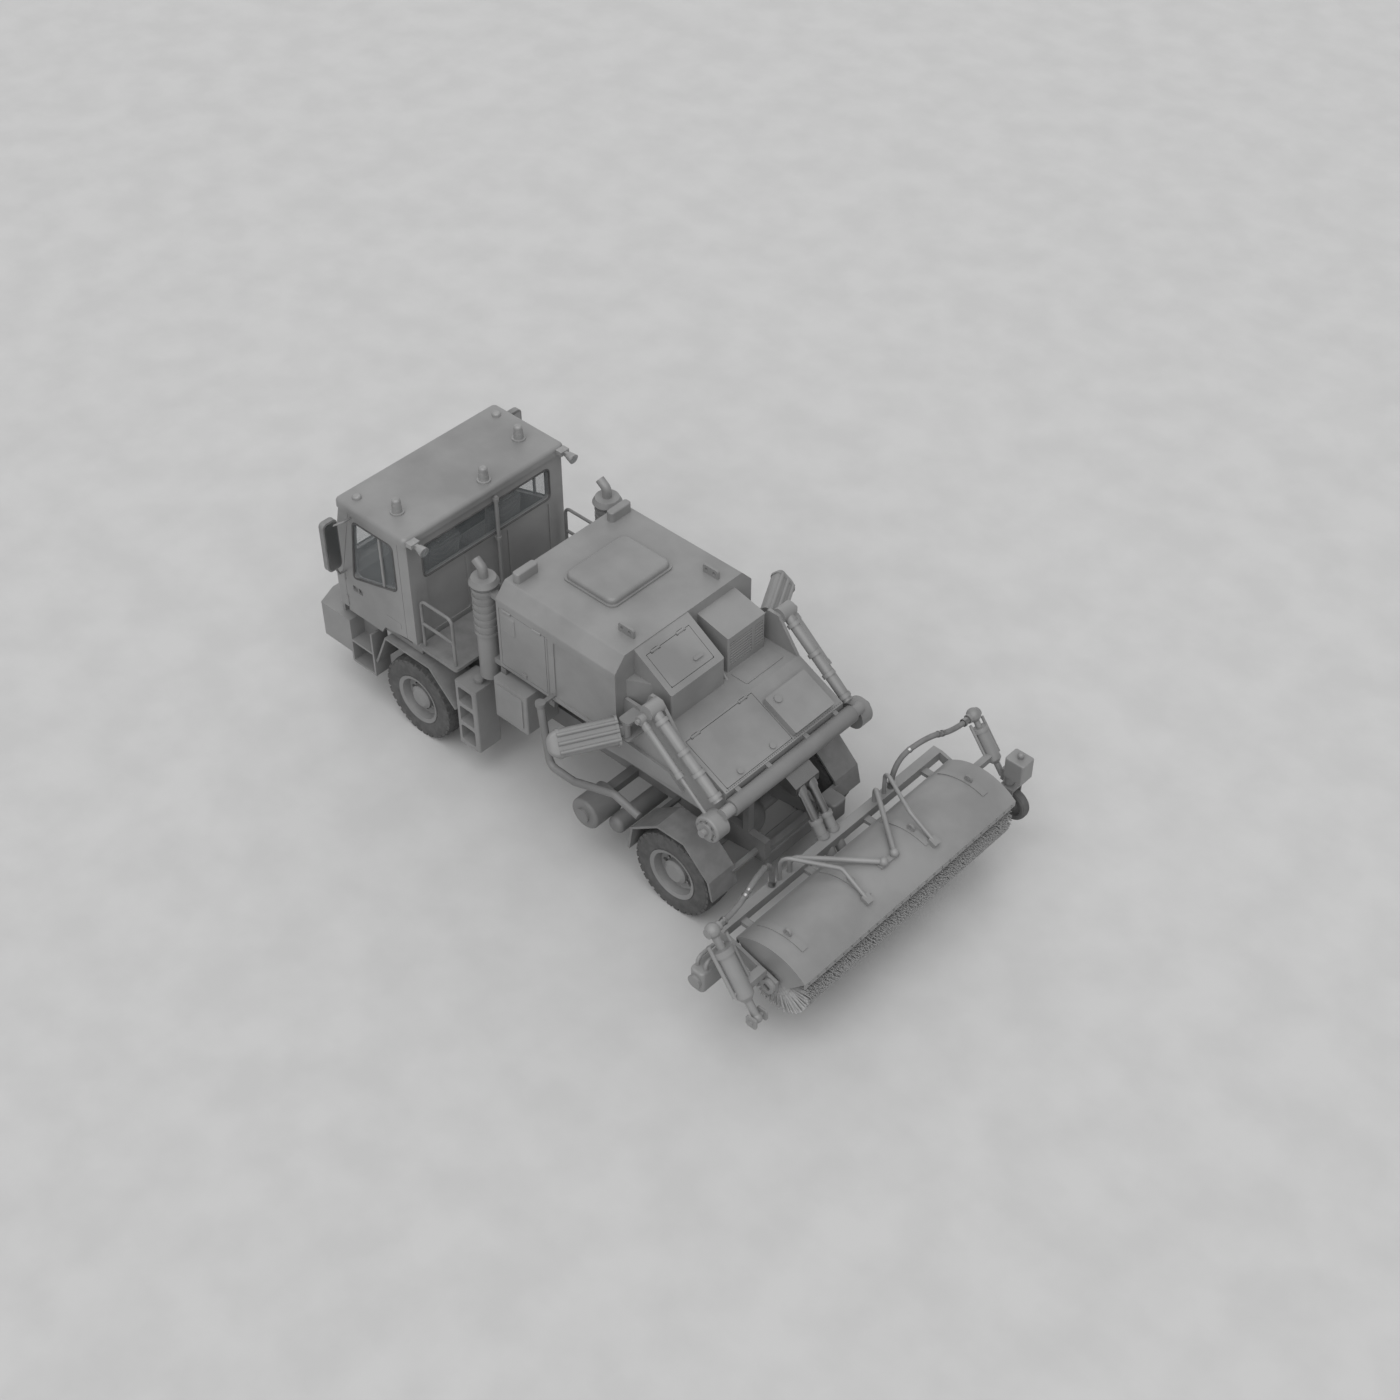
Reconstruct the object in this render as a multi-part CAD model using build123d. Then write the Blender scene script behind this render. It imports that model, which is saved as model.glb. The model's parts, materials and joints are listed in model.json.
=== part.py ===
from build123d import *
import math
import os

# Airport runway sweeper: a two-axle truck with a wide forward cab, an engine and blower hood,
# a sloped rear deck and a wide roller broom carried behind on twin telescopic guides.
# Millimetres. X forward from the rear axle, Y to the left, Z up from the ground.

# Running gear
WHEELBASE = 4140.0
TYRE_R = 545.0
TYRE_W = 360.0
RIM_R = 303.0
WHEEL_Y = 1040.0
KINGPIN_Y = WHEEL_Y - 140.0
KINGPIN_R = 30.0
SPINDLE_R = 60.0
AXLE_R = 90.0
EYE_HALF = 80.0
PIN_GAP = 0.3
WHEEL_HALF = TYRE_W / 2

# Chassis rails
RAIL_IN = 380.0
RAIL_W = 90.0
RAIL_OUT = RAIL_IN + RAIL_W
RAIL_H = 260.0
RAIL_BOTTOM = TYRE_R + 155.0
RAIL_TOP = RAIL_BOTTOM + RAIL_H
RAIL_REAR = -TYRE_R - 155.0
POST_W = 80.0

# Cab
CAB_REAR = WHEELBASE - 104.0
CAB_LENGTH = 1384.0
CAB_FRONT = CAB_REAR + CAB_LENGTH
CAB_HALF = 1210.0
CAB_WALL = 60.0
CAB_INNER = CAB_HALF - CAB_WALL
CAB_HEIGHT = 1640.0
CAB_FLOOR_Z = RAIL_TOP + 330.0
FLOOR_T = 60.0
WALL_LOW = CAB_FLOOR_Z + 0.11 * CAB_HEIGHT
BELT_Z = CAB_FLOOR_Z + 0.4 * CAB_HEIGHT
WALL_TOP = CAB_FLOOR_Z + CAB_HEIGHT
ROOF_T = 114.0
ROOF_HALF = CAB_HALF + 46.0
SCREEN_RAKE = 235.0
SCREEN_TOP_X = CAB_FRONT - SCREEN_RAKE
ROOF_FRONT = SCREEN_TOP_X + 21.0
DOOR_REAR = CAB_REAR + 170.0
DOOR_FRONT = CAB_FRONT - 170.0
DOOR_BOTTOM = CAB_FLOOR_Z + 15.0
DOOR_TOP = WALL_TOP - 55.0
DOOR_GAP = 6.0
GLASS_T = 8.0

# Bumper and steps
BUMPER_FRONT = CAB_FRONT + 460.0
BUMPER_HALF = CAB_HALF + 30.0
BUMPER_BOTTOM = RAIL_BOTTOM - 60.0
BUMPER_TOP = RAIL_TOP + 190.0
STEP_REAR = WHEELBASE + TYRE_R + 170.0
STEP_BOTTOM = RAIL_BOTTOM - 205.0
STEP_T = 30.0

# Fenders, walkway and ladder tanks
FENDER_IN = WHEEL_Y - 190.0
FENDER_OUT = WHEEL_Y + 205.0
FENDER_T = 30.0
WALK_Z = RAIL_TOP + 480.0
WALK_T = 40.0
WALK_FRONT = CAB_REAR - 26.0
WALK_L = 640.0
WALK_REAR = WALK_FRONT - WALK_L
RAIL_TUBE_R = 20.0
RAIL_TUBE_H = 690.0

# Rear deck
DECK_HALF = 950.0
DECK_BOTTOM = RAIL_TOP + 540.0
DECK_Z = RAIL_TOP + 1340.0
DECK_BEND = 100.0
DECK_REAR = -550.0
DECK_REAR_Z = DECK_Z - 315.0
TUBE_X = DECK_REAR - 105.0
TUBE_R = 100.0
TUBE_Z = DECK_REAR_Z - 110.0

# Hood
HOOD_REAR = 920.0
HOOD_FRONT = WHEELBASE - 1400.0
HOOD_LENGTH = HOOD_FRONT - HOOD_REAR
HOOD_SEAM = HOOD_REAR + 0.555 * HOOD_LENGTH
HOOD_HALF = DECK_HALF + 125.0
HOOD_TOP_HALF = HOOD_HALF - 157.0
HOOD_BOTTOM = RAIL_TOP + 880.0
HOOD_SHOULDER = HOOD_BOTTOM + 1000.0
HOOD_TOP = HOOD_SHOULDER + 180.0
HOOD_WALL = 40.0
POST_TOP = HOOD_BOTTOM - 80.0

# Broom and its lift
GUIDE_X = TUBE_X - 165.0
GUIDE_Z = TUBE_Z - 225.0
GUIDE_Y = 80.0
GUIDE_R = 50.0
SLEEVE_R = 62.0
GUIDE_LEAN = 34.6
GUIDE_SHOWN = 420.0
SLEEVE_L = 620.0
BEAM_X = GUIDE_X - 430.0
BEAM_Z = GUIDE_Z - 580.0
BEAM_S = 120.0
BRUSH_X = BEAM_X - 710.0
BRUSH_Z = BEAM_Z - 240.0
BRUSH_R = 430.0
BRUSH_CORE_R = 130.0
BRUSH_HALF = 1735.0
SHAFT_R = 45.0
COWL_X = BRUSH_X + 50.0
COWL_Z = BRUSH_Z - 240.0
COWL_R = BRUSH_R + 270.0
COWL_T = 12.0
COWL_HALF = BRUSH_HALF + 35.0
ARM_IN = COWL_HALF + 20.0
ARM_OUT = ARM_IN + 40.0
END_Y = ARM_OUT + 320.0

# The model's own origin lies under the middle of its length.
X_FRONT = BUMPER_FRONT
X_REAR = BRUSH_X - BRUSH_R
X_MID = (X_FRONT + X_REAR) / 2

SIDES = {"left": 1, "right": -1}


# Shape helpers
def block(x, y, z):
    """A box between pairs of coordinates."""
    size = [abs(pair[1] - pair[0]) for pair in (x, y, z)]
    middle = [(pair[0] + pair[1]) / 2 for pair in (x, y, z)]
    return Pos(*middle) * Box(*size)


def soft_block(x, y, z, radius):
    """A box whose upright edges and top edges are rounded."""
    shape = block(x, y, z)
    shape = fillet(shape.edges().filter_by(Axis.Z), radius=radius)
    return fillet(shape.faces().sort_by(Axis.Z)[-1].edges(), radius=radius / 2)


def rod(start, end, radius, far_radius=None):
    """A round bar from one point to another, tapered if a second radius is given."""
    a = Vector(*start)
    b = Vector(*end)
    plane = Plane(origin=a, z_dir=b - a)
    length = (b - a).length
    if far_radius is None:
        return extrude(plane * Circle(radius), amount=length)
    return plane * Pos(0, 0, length / 2) * Cone(radius, far_radius, length)


def between(start, end, share):
    """Point at a share of the way from one point to another."""
    return tuple(a + (b - a) * share for a, b in zip(start, end))


def bar_y(x, z, radius, y0, y1):
    """A round bar across the vehicle."""
    return rod((x, y0, z), (x, y1, z), radius)


def bar_z(x, y, radius, z0, z1):
    """An upright round bar."""
    return rod((x, y, z0), (x, y, z1), radius)


def outline(points, corner):
    """A flat face through points, its corners rounded if a radius is given."""
    face = make_face(Polyline(*points, close=True))
    return fillet(face.vertices(), radius=corner) if corner else face


def side_prism(points, y0, y1, corner=0.0):
    """A side-view outline (x, z) extruded across the vehicle."""
    face = outline([(x, y0, z) for x, z in points], corner)
    return extrude(face, amount=y1 - y0, dir=(0, 1, 0))


def end_prism(points, x0, x1, corner=0.0):
    """An end-view outline (y, z) extruded along the vehicle."""
    face = outline([(x0, y, z) for y, z in points], corner)
    return extrude(face, amount=x1 - x0, dir=(1, 0, 0))


def plan_prism(points, z0, z1, corner=0.0):
    """A plan-view outline (x, y) extruded upwards."""
    face = outline([(x, y, z0) for x, y in points], corner)
    return extrude(face, amount=z1 - z0, dir=(0, 0, 1))


def oblong(low, high):
    """The four corners of an upright rectangle."""
    return [low, (high[0], low[1]), high, (low[0], high[1])]


def pipe(points, radius, bend):
    """A round tube along straight runs joined by arcs."""
    path = FilletPolyline(*points, radius=bend) if len(points) > 2 else Line(*points)
    start = Vector(*points[0])
    plane = Plane(origin=start, z_dir=Vector(*points[1]) - start)
    return sweep(plane * Circle(radius), path=path)


def mirrored(shape):
    """The same piece on the other side of the vehicle."""
    return shape.mirror(Plane.XZ)


def group(shapes):
    """Several solids kept as one piece."""
    return Compound([solid for shape in shapes for solid in shape.solids()])


def both(*shapes):
    """Pieces and their mirror images, as separate solids."""
    return group(list(shapes) + [mirrored(shape) for shape in shapes])


def on_side(shape, side):
    """A left-hand piece, mirrored for the right-hand side."""
    return shape if SIDES[side] > 0 else mirrored(shape)


# Hinges: a barrel on the moving piece turns on a pin held between two lugs of the fixed one.
HINGE_R = 16.0
HINGE_PIN_R = 8.0
HINGE_HALF = 40.0
HINGE_LUG = 24.0
HINGE_END_GAP = 1.0
HINGE_ROOM = 5.0


class Hinge:
    """Hinge pieces at several distances along one axis."""

    def __init__(self, origin, direction, places):
        self.origin = Vector(*origin)
        self.direction = Vector(*direction).normalized()
        self.places = places

    def bar(self, start, end, radius):
        a = self.origin + self.direction * start
        b = self.origin + self.direction * end
        return rod(tuple(a), tuple(b), radius)

    def fit_fixed(self, shape):
        """Cut room for the barrels, then add the lugs and pins."""
        reach = HINGE_HALF + HINGE_END_GAP
        for place in self.places:
            shape -= self.bar(place - reach, place + reach, HINGE_R + HINGE_ROOM)
            shape += self.bar(place - reach - HINGE_LUG, place - reach, HINGE_R)
            shape += self.bar(place + reach, place + reach + HINGE_LUG, HINGE_R)
            shape += self.bar(place - reach, place + reach, HINGE_PIN_R)
        return shape

    def fit_moving(self, shape):
        """Cut room for the lugs, then add the bored barrels."""
        reach = HINGE_HALF + HINGE_END_GAP
        for place in self.places:
            for start in (place - reach - HINGE_LUG - HINGE_ROOM, place + HINGE_HALF):
                length = HINGE_LUG + HINGE_ROOM + HINGE_END_GAP
                shape -= self.bar(start, start + length, HINGE_R + HINGE_ROOM)
            shape += self.bar(place - HINGE_HALF, place + HINGE_HALF, HINGE_R)
            shape -= self.bar(place - HINGE_HALF, place + HINGE_HALF, HINGE_PIN_R + PIN_GAP)
        return shape


PARTS = {}


# Chassis
CROSS_BAR_H = 60.0
POST_HALF = POST_W / 2


def hood_posts():
    """Places along the vehicle of the posts under the hood."""
    return [HOOD_REAR + 0.07 * HOOD_LENGTH, HOOD_SEAM, HOOD_FRONT - POST_HALF]


def chassis_frame():
    # Posts on the rails: place along the vehicle, height of the top.
    posts = [(x, POST_TOP) for x in hood_posts()]
    posts += [(0.75 * DECK_REAR, DECK_BOTTOM), (0.65 * HOOD_REAR, DECK_BOTTOM)]
    posts += [(WALK_REAR + POST_W, WALK_Z), (WALK_FRONT - POST_W, WALK_Z)]
    posts += [(CAB_REAR + 0.15 * CAB_LENGTH, CAB_FLOOR_Z), (CAB_REAR + 0.88 * CAB_LENGTH, CAB_FLOOR_Z)]
    frame = None
    for side in SIDES.values():
        rail_y = sorted((side * RAIL_IN, side * RAIL_OUT))
        rail = block((RAIL_REAR, CAB_FRONT), rail_y, (RAIL_BOTTOM, RAIL_TOP))
        frame = rail if frame is None else frame + rail
        for x, top in posts:
            frame += block((x - POST_HALF, x + POST_HALF), rail_y, (RAIL_TOP, top))
    for x in (RAIL_REAR + POST_W, HOOD_REAR, HOOD_FRONT, WALK_REAR, CAB_FRONT - POST_W):
        frame += block((x - POST_HALF, x + POST_HALF), (-RAIL_IN, RAIL_IN),
                       (RAIL_BOTTOM, RAIL_BOTTOM + CROSS_BAR_H))
    for x in hood_posts():
        frame += block((x - POST_HALF, x + POST_HALF), (-HOOD_HALF, HOOD_HALF), (POST_TOP, HOOD_BOTTOM))
    return frame


def engine_block():
    """The engine as one plain block between the rails."""
    half = RAIL_IN - POST_HALF
    x = (HOOD_REAR + 0.13 * HOOD_LENGTH, HOOD_FRONT - 0.06 * HOOD_LENGTH)
    base = block(x, (-half, half), (RAIL_BOTTOM + CROSS_BAR_H, DECK_BOTTOM))
    heads = block((x[0] + POST_W, x[1] - POST_W), (-0.75 * half, 0.75 * half), (DECK_BOTTOM, POST_TOP))
    return base + heads


SPRING_HALF = TYRE_R + 55.0
SPRING_SEAT = 120.0


def leaf_spring(x):
    """Left pack of leaves between an axle and a rail, with its seat."""
    low = TYRE_R + AXLE_R
    shape = [(x - SPRING_HALF, RAIL_BOTTOM), (x - SPRING_SEAT, low), (x + SPRING_SEAT, low),
             (x + SPRING_HALF, RAIL_BOTTOM)]
    seat = block((x - SPRING_SEAT / 2, x + SPRING_SEAT / 2), (RAIL_IN, RAIL_OUT), (TYRE_R, low))
    return side_prism(shape, RAIL_IN, RAIL_OUT) + seat


def rear_axle():
    inner = WHEEL_Y - WHEEL_HALF + SPINDLE_R
    axle = bar_y(0, TYRE_R, AXLE_R, -inner, inner)
    axle += Pos(0, 0, TYRE_R) * Sphere(2.5 * AXLE_R)
    axle += bar_y(0, TYRE_R, SPINDLE_R, -WHEEL_Y - SPINDLE_R, WHEEL_Y + SPINDLE_R)
    spring = leaf_spring(0)
    return axle + spring + mirrored(spring)


def front_axle():
    axle = bar_y(WHEELBASE, TYRE_R, 0.8 * AXLE_R, -KINGPIN_Y, KINGPIN_Y)
    for side in SIDES.values():
        axle += bar_z(WHEELBASE, side * KINGPIN_Y, 2.5 * KINGPIN_R, TYRE_R - EYE_HALF, TYRE_R + EYE_HALF)
    spring = leaf_spring(WHEELBASE)
    axle += spring + mirrored(spring)
    for side in SIDES.values():
        axle -= bar_z(WHEELBASE, side * KINGPIN_Y, KINGPIN_R + PIN_GAP, 0, 2 * TYRE_R)
    return axle


YOKE_HALF = 55.0
YOKE_CHEEK = 40.0


def knuckle():
    """Left steering knuckle: a yoke round the axle's eye, its kingpin and the wheel spindle."""
    inside = EYE_HALF + HINGE_END_GAP
    reach = inside + YOKE_CHEEK
    x = (WHEELBASE - YOKE_HALF, WHEELBASE + YOKE_HALF)
    outer = KINGPIN_Y + 4 * KINGPIN_R
    yoke = bar_z(WHEELBASE, KINGPIN_Y, KINGPIN_R, TYRE_R - inside, TYRE_R + inside)
    for z in (TYRE_R + inside, TYRE_R - reach):
        yoke += block(x, (KINGPIN_Y - YOKE_HALF, outer), (z, z + YOKE_CHEEK))
    yoke += block(x, (outer - KINGPIN_R, outer), (TYRE_R - reach, TYRE_R + reach))
    yoke += bar_y(WHEELBASE, TYRE_R, SPINDLE_R, outer - KINGPIN_R / 2, WHEEL_Y + SPINDLE_R)
    return yoke


def turned(x, profile):
    """A wheel piece turned about an axle from rows of radius and distance out from the wheel's middle."""
    face = make_face(Polyline(*[(x, WHEEL_Y + out, TYRE_R + radius) for radius, out in profile], close=True))
    return revolve(face, axis=Axis((x, 0, TYRE_R), (0, 1, 0)))


def tyre(x):
    """Left tyre: rounded shoulders, shallow sidewall bulge, open at the bead."""
    wall = TYRE_R - RIM_R
    # Half profile: radius, distance out from the wheel's middle.
    half = [(RIM_R + 1, 0.75 * WHEEL_HALF), (RIM_R + 0.12 * wall, 0.93 * WHEEL_HALF),
            (RIM_R + 0.5 * wall, WHEEL_HALF), (TYRE_R - 0.19 * wall, 0.955 * WHEEL_HALF),
            (TYRE_R - 0.04 * wall, 0.83 * WHEEL_HALF), (TYRE_R, 0.58 * WHEEL_HALF)]
    return turned(x, [(radius, -out) for radius, out in half] + half[::-1])


HAND_HOLES = 8


def rim(x):
    """Left rim: barrel, dished disc with hand holes, and the hub that runs on the spindle."""
    bore = SPINDLE_R + PIN_GAP
    barrel = 0.92 * RIM_R
    lip = 1.08 * RIM_R
    disc = 0.035 * WHEEL_HALF
    hub_end = 0.83 * WHEEL_HALF
    # Radius, distance out from the wheel's middle.
    profile = [
        (bore, -2 * disc), (0.43 * RIM_R, -2 * disc), (0.43 * RIM_R, disc), (barrel, disc),
        (barrel, -0.89 * WHEEL_HALF), (lip, -0.97 * WHEEL_HALF), (lip, -0.935 * WHEEL_HALF),
        (RIM_R, -0.75 * WHEEL_HALF), (RIM_R, 0.75 * WHEEL_HALF), (lip, 0.935 * WHEEL_HALF),
        (lip, 0.97 * WHEEL_HALF),
        (barrel, 0.89 * WHEEL_HALF), (0.85 * RIM_R, 0.33 * WHEEL_HALF), (0.63 * RIM_R, 0.2 * WHEEL_HALF),
        (0.5 * RIM_R, 0.33 * WHEEL_HALF), (0.5 * RIM_R, 0.67 * WHEEL_HALF), (0.36 * RIM_R, hub_end),
        (0, hub_end), (0, SPINDLE_R + HINGE_ROOM), (bore, SPINDLE_R + HINGE_ROOM),
    ]
    wheel = turned(x, profile)
    circle = 0.7 * RIM_R
    for i in range(HAND_HOLES):
        turn = 2 * math.pi * i / HAND_HOLES
        wheel -= bar_y(x + circle * math.cos(turn), TYRE_R + circle * math.sin(turn), 0.085 * RIM_R,
                       WHEEL_Y - 4 * disc, WHEEL_Y + hub_end)
    return wheel


# Cab shell
SCREEN_LEAN = SCREEN_RAKE / (WALL_TOP - BELT_Z)
SCREEN_HALF = CAB_HALF - 150.0
SCREEN_SILL = BELT_Z + 60.0
SCREEN_HEAD = WALL_TOP - 70.0
REAR_PANE_HALF = CAB_HALF - 210.0
REAR_PANE_LOW = WALL_TOP - 570.0
REAR_PANE_HIGH = WALL_TOP - 130.0
PANE_CORNER = 70.0
SKIRT_DROP = 110.0
PANEL_DEPTH = 12.0


def pillar_x(z):
    """Rear edge of the windscreen pillar at a height."""
    return DOOR_FRONT + DOOR_GAP - SCREEN_LEAN * max(z - BELT_Z, 0)


def door_hinge():
    """Left door hinge, upright on the windscreen pillar's edge."""
    span = BELT_Z - DOOR_BOTTOM
    return Hinge((DOOR_FRONT + DOOR_GAP / 2, CAB_HALF, DOOR_BOTTOM), (0, 0, 1), (0.25 * span, 0.85 * span))


def cab_floor():
    inner = CAB_INNER - DOOR_GAP
    floor = block((CAB_REAR, CAB_FRONT), (-inner, inner), (CAB_FLOOR_Z, CAB_FLOOR_Z + FLOOR_T))
    riser = block((CAB_REAR, DOOR_REAR - DOOR_GAP), (-inner, inner), (CAB_FLOOR_Z + FLOOR_T, WALL_LOW))
    return floor + riser


def cab_front():
    low = CAB_FLOOR_Z + FLOOR_T
    pillar = [(pillar_x(low), low), (CAB_FRONT, low), (CAB_FRONT, BELT_Z), (SCREEN_TOP_X, WALL_TOP),
              (pillar_x(WALL_TOP), WALL_TOP), (pillar_x(BELT_Z), BELT_Z)]
    back = CAB_FRONT - CAB_WALL
    wall = [(back, low), (CAB_FRONT, low), (CAB_FRONT, BELT_Z), (SCREEN_TOP_X, WALL_TOP),
            (SCREEN_TOP_X - CAB_WALL, WALL_TOP), (back, BELT_Z)]
    front = side_prism(wall, -CAB_INNER, CAB_INNER)
    front += side_prism(pillar, CAB_INNER, CAB_HALF) + side_prism(pillar, -CAB_HALF, -CAB_INNER)
    front = fillet(front.edges().filter_by(Axis.Z).group_by(Axis.X)[-1], radius=CAB_WALL / 2)
    screen = oblong((-SCREEN_HALF, SCREEN_SILL), (SCREEN_HALF, SCREEN_HEAD))
    front -= end_prism(screen, SCREEN_TOP_X - CAB_LENGTH / 2, CAB_FRONT + CAB_WALL, PANE_CORNER)
    skirt = block((CAB_FRONT, CAB_FRONT + CAB_WALL), (-CAB_INNER, CAB_INNER),
                  (BUMPER_TOP, BELT_Z - SKIRT_DROP))
    front += fillet(skirt.faces().sort_by(Axis.X)[-1].edges(), radius=CAB_WALL / 3)
    front = door_hinge().fit_fixed(front)
    return mirrored(door_hinge().fit_fixed(mirrored(front)))


def rear_pane():
    """Outline of the wide window in the cab's rear wall."""
    return oblong((-REAR_PANE_HALF, REAR_PANE_LOW), (REAR_PANE_HALF, REAR_PANE_HIGH))


REAR_PANELS = 3
REAR_PIPE_R = 24.0


def cab_rear():
    wall = block((CAB_REAR, CAB_REAR + CAB_WALL), (-CAB_HALF, CAB_HALF), (WALL_LOW, WALL_TOP))
    wall -= end_prism(rear_pane(), CAB_REAR - CAB_WALL, CAB_REAR + 2 * CAB_WALL, PANE_CORNER)
    pitch = 2 * REAR_PANE_HALF / REAR_PANELS
    for i in range(REAR_PANELS):
        left = -REAR_PANE_HALF + i * pitch
        panel = oblong((left + CAB_WALL / 2, WALL_LOW + CAB_WALL),
                       (left + pitch - CAB_WALL / 2, REAR_PANE_LOW - CAB_WALL))
        wall -= end_prism(panel, CAB_REAR - CAB_WALL, CAB_REAR + PANEL_DEPTH, CAB_WALL / 2)
    pipe_x = CAB_REAR - 1.8 * REAR_PIPE_R
    pipe_y = -POLE_BEACON_IN
    wall += bar_z(pipe_x, pipe_y, REAR_PIPE_R, WALL_LOW + CAB_WALL, WALL_TOP - REAR_PIPE_R)
    for z in (WALL_LOW + 2 * CAB_WALL, REAR_PANE_LOW - CAB_WALL, REAR_PANE_HIGH + CAB_WALL):
        wall += bar_z(pipe_x, pipe_y, 1.5 * REAR_PIPE_R, z - REAR_PIPE_R, z + REAR_PIPE_R)
        wall += block((pipe_x, CAB_REAR), (pipe_y - REAR_PIPE_R, pipe_y + REAR_PIPE_R),
                      (z - REAR_PIPE_R, z + REAR_PIPE_R))
    return wall


def cab_side():
    y = (CAB_INNER, CAB_HALF)
    start = CAB_REAR + CAB_WALL
    side = block((start, DOOR_REAR - DOOR_GAP), y, (WALL_LOW, WALL_TOP))
    return side + block((start, pillar_x(WALL_TOP)), y, (DOOR_TOP + DOOR_GAP, WALL_TOP))


ROOF_CORNER = 70.0


def cab_roof():
    slab = block((CAB_REAR - CAB_WALL / 2, ROOF_FRONT), (-ROOF_HALF, ROOF_HALF),
                 (WALL_TOP, WALL_TOP + ROOF_T))
    slab = fillet(slab.edges().filter_by(Axis.Z), radius=ROOF_CORNER)
    return fillet(slab.faces().sort_by(Axis.Z)[-1].edges(), radius=0.45 * ROOF_T)


DOOR_STILE = 85.0
DOOR_NOTCH_X = WHEELBASE + TYRE_R - 25.0
PANE_SILL_FRONT = BELT_Z - 55.0
PANE_SILL_REAR = BELT_Z + 185.0
PANE_BAR_X = DOOR_REAR + 300.0
PANE_BAR_W = 36.0


def door_top_front(z):
    """Front edge of the door at a height."""
    return pillar_x(z) - DOOR_GAP


def door():
    """Left door: raked front edge, tail raised over the wheel, window with an upright bar, sunk handle."""
    shape = [(DOOR_REAR, WALL_LOW), (DOOR_NOTCH_X - CAB_WALL, WALL_LOW - CAB_WALL),
             (DOOR_NOTCH_X, DOOR_BOTTOM), (DOOR_FRONT, DOOR_BOTTOM), (DOOR_FRONT, BELT_Z),
             (door_top_front(DOOR_TOP), DOOR_TOP), (DOOR_REAR, DOOR_TOP)]
    panel = side_prism(shape, CAB_INNER, CAB_HALF)
    panel -= side_prism(door_pane(), CAB_INNER - CAB_WALL, CAB_HALF + CAB_WALL, PANE_CORNER)
    panel += block((PANE_BAR_X, PANE_BAR_X + PANE_BAR_W), (CAB_HALF - CAB_WALL / 3, CAB_HALF),
                   (PANE_SILL_FRONT, DOOR_TOP - DOOR_STILE / 2))
    grip_x = DOOR_FRONT - 2.5 * DOOR_STILE
    grip_z = PANE_SILL_FRONT - 2.5 * DOOR_STILE
    recess = oblong((grip_x - DOOR_STILE, grip_z), (grip_x + DOOR_STILE, grip_z + DOOR_STILE))
    panel -= side_prism(recess, CAB_HALF - CAB_WALL / 2, CAB_HALF + CAB_WALL, DOOR_STILE / 4)
    panel += bar_z(grip_x, CAB_HALF - CAB_WALL / 4, CAB_WALL / 6, grip_z - CAB_WALL / 4,
                   grip_z + DOOR_STILE + CAB_WALL / 4)
    plate = oblong((DOOR_REAR + DOOR_STILE, WALL_LOW + DOOR_STILE),
                   (DOOR_REAR + 4 * DOOR_STILE, WALL_LOW + 2 * DOOR_STILE))
    panel += side_prism(plate, CAB_HALF, CAB_HALF + PANEL_DEPTH / 3, DOOR_STILE / 6)
    return door_hinge().fit_moving(panel)


def door_pane():
    """Outline of the door's window, its sill rising to the rear."""
    head = DOOR_TOP - DOOR_STILE
    front = DOOR_FRONT - 2 * DOOR_STILE
    return [(DOOR_REAR + DOOR_STILE, PANE_SILL_REAR), (front, PANE_SILL_FRONT),
            (front + DOOR_STILE - SCREEN_LEAN * (head - BELT_Z), head), (DOOR_REAR + DOOR_STILE, head)]


def door_glass():
    inner = CAB_HALF - CAB_WALL / 3 - GLASS_T
    return side_prism(door_pane(), inner, inner + GLASS_T, PANE_CORNER)


def cab_glass():
    back = CAB_FRONT - CAB_WALL / 2
    x = [back - SCREEN_LEAN * (z - BELT_Z) for z in (SCREEN_SILL, SCREEN_HEAD)]
    slant = side_prism([(x[0], SCREEN_SILL), (x[0] + GLASS_T, SCREEN_SILL), (x[1] + GLASS_T, SCREEN_HEAD),
                        (x[1], SCREEN_HEAD)], -SCREEN_HALF, SCREEN_HALF)
    frame = oblong((-SCREEN_HALF, SCREEN_SILL), (SCREEN_HALF, SCREEN_HEAD))
    screen = slant & end_prism(frame, x[1] - CAB_WALL, CAB_FRONT, PANE_CORNER)
    middle = CAB_REAR + CAB_WALL / 2
    rear = end_prism(rear_pane(), middle - GLASS_T / 2, middle + GLASS_T / 2, PANE_CORNER)
    return group([screen, rear])


SEAT_Y = 0.4 * CAB_HALF
SEAT_HALF = 250.0
SEAT_X = CAB_REAR + 300.0
SEAT_L = 520.0
SEAT_T = 130.0
BACK_H = 680.0
PEDESTAL_H = 330.0


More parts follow.
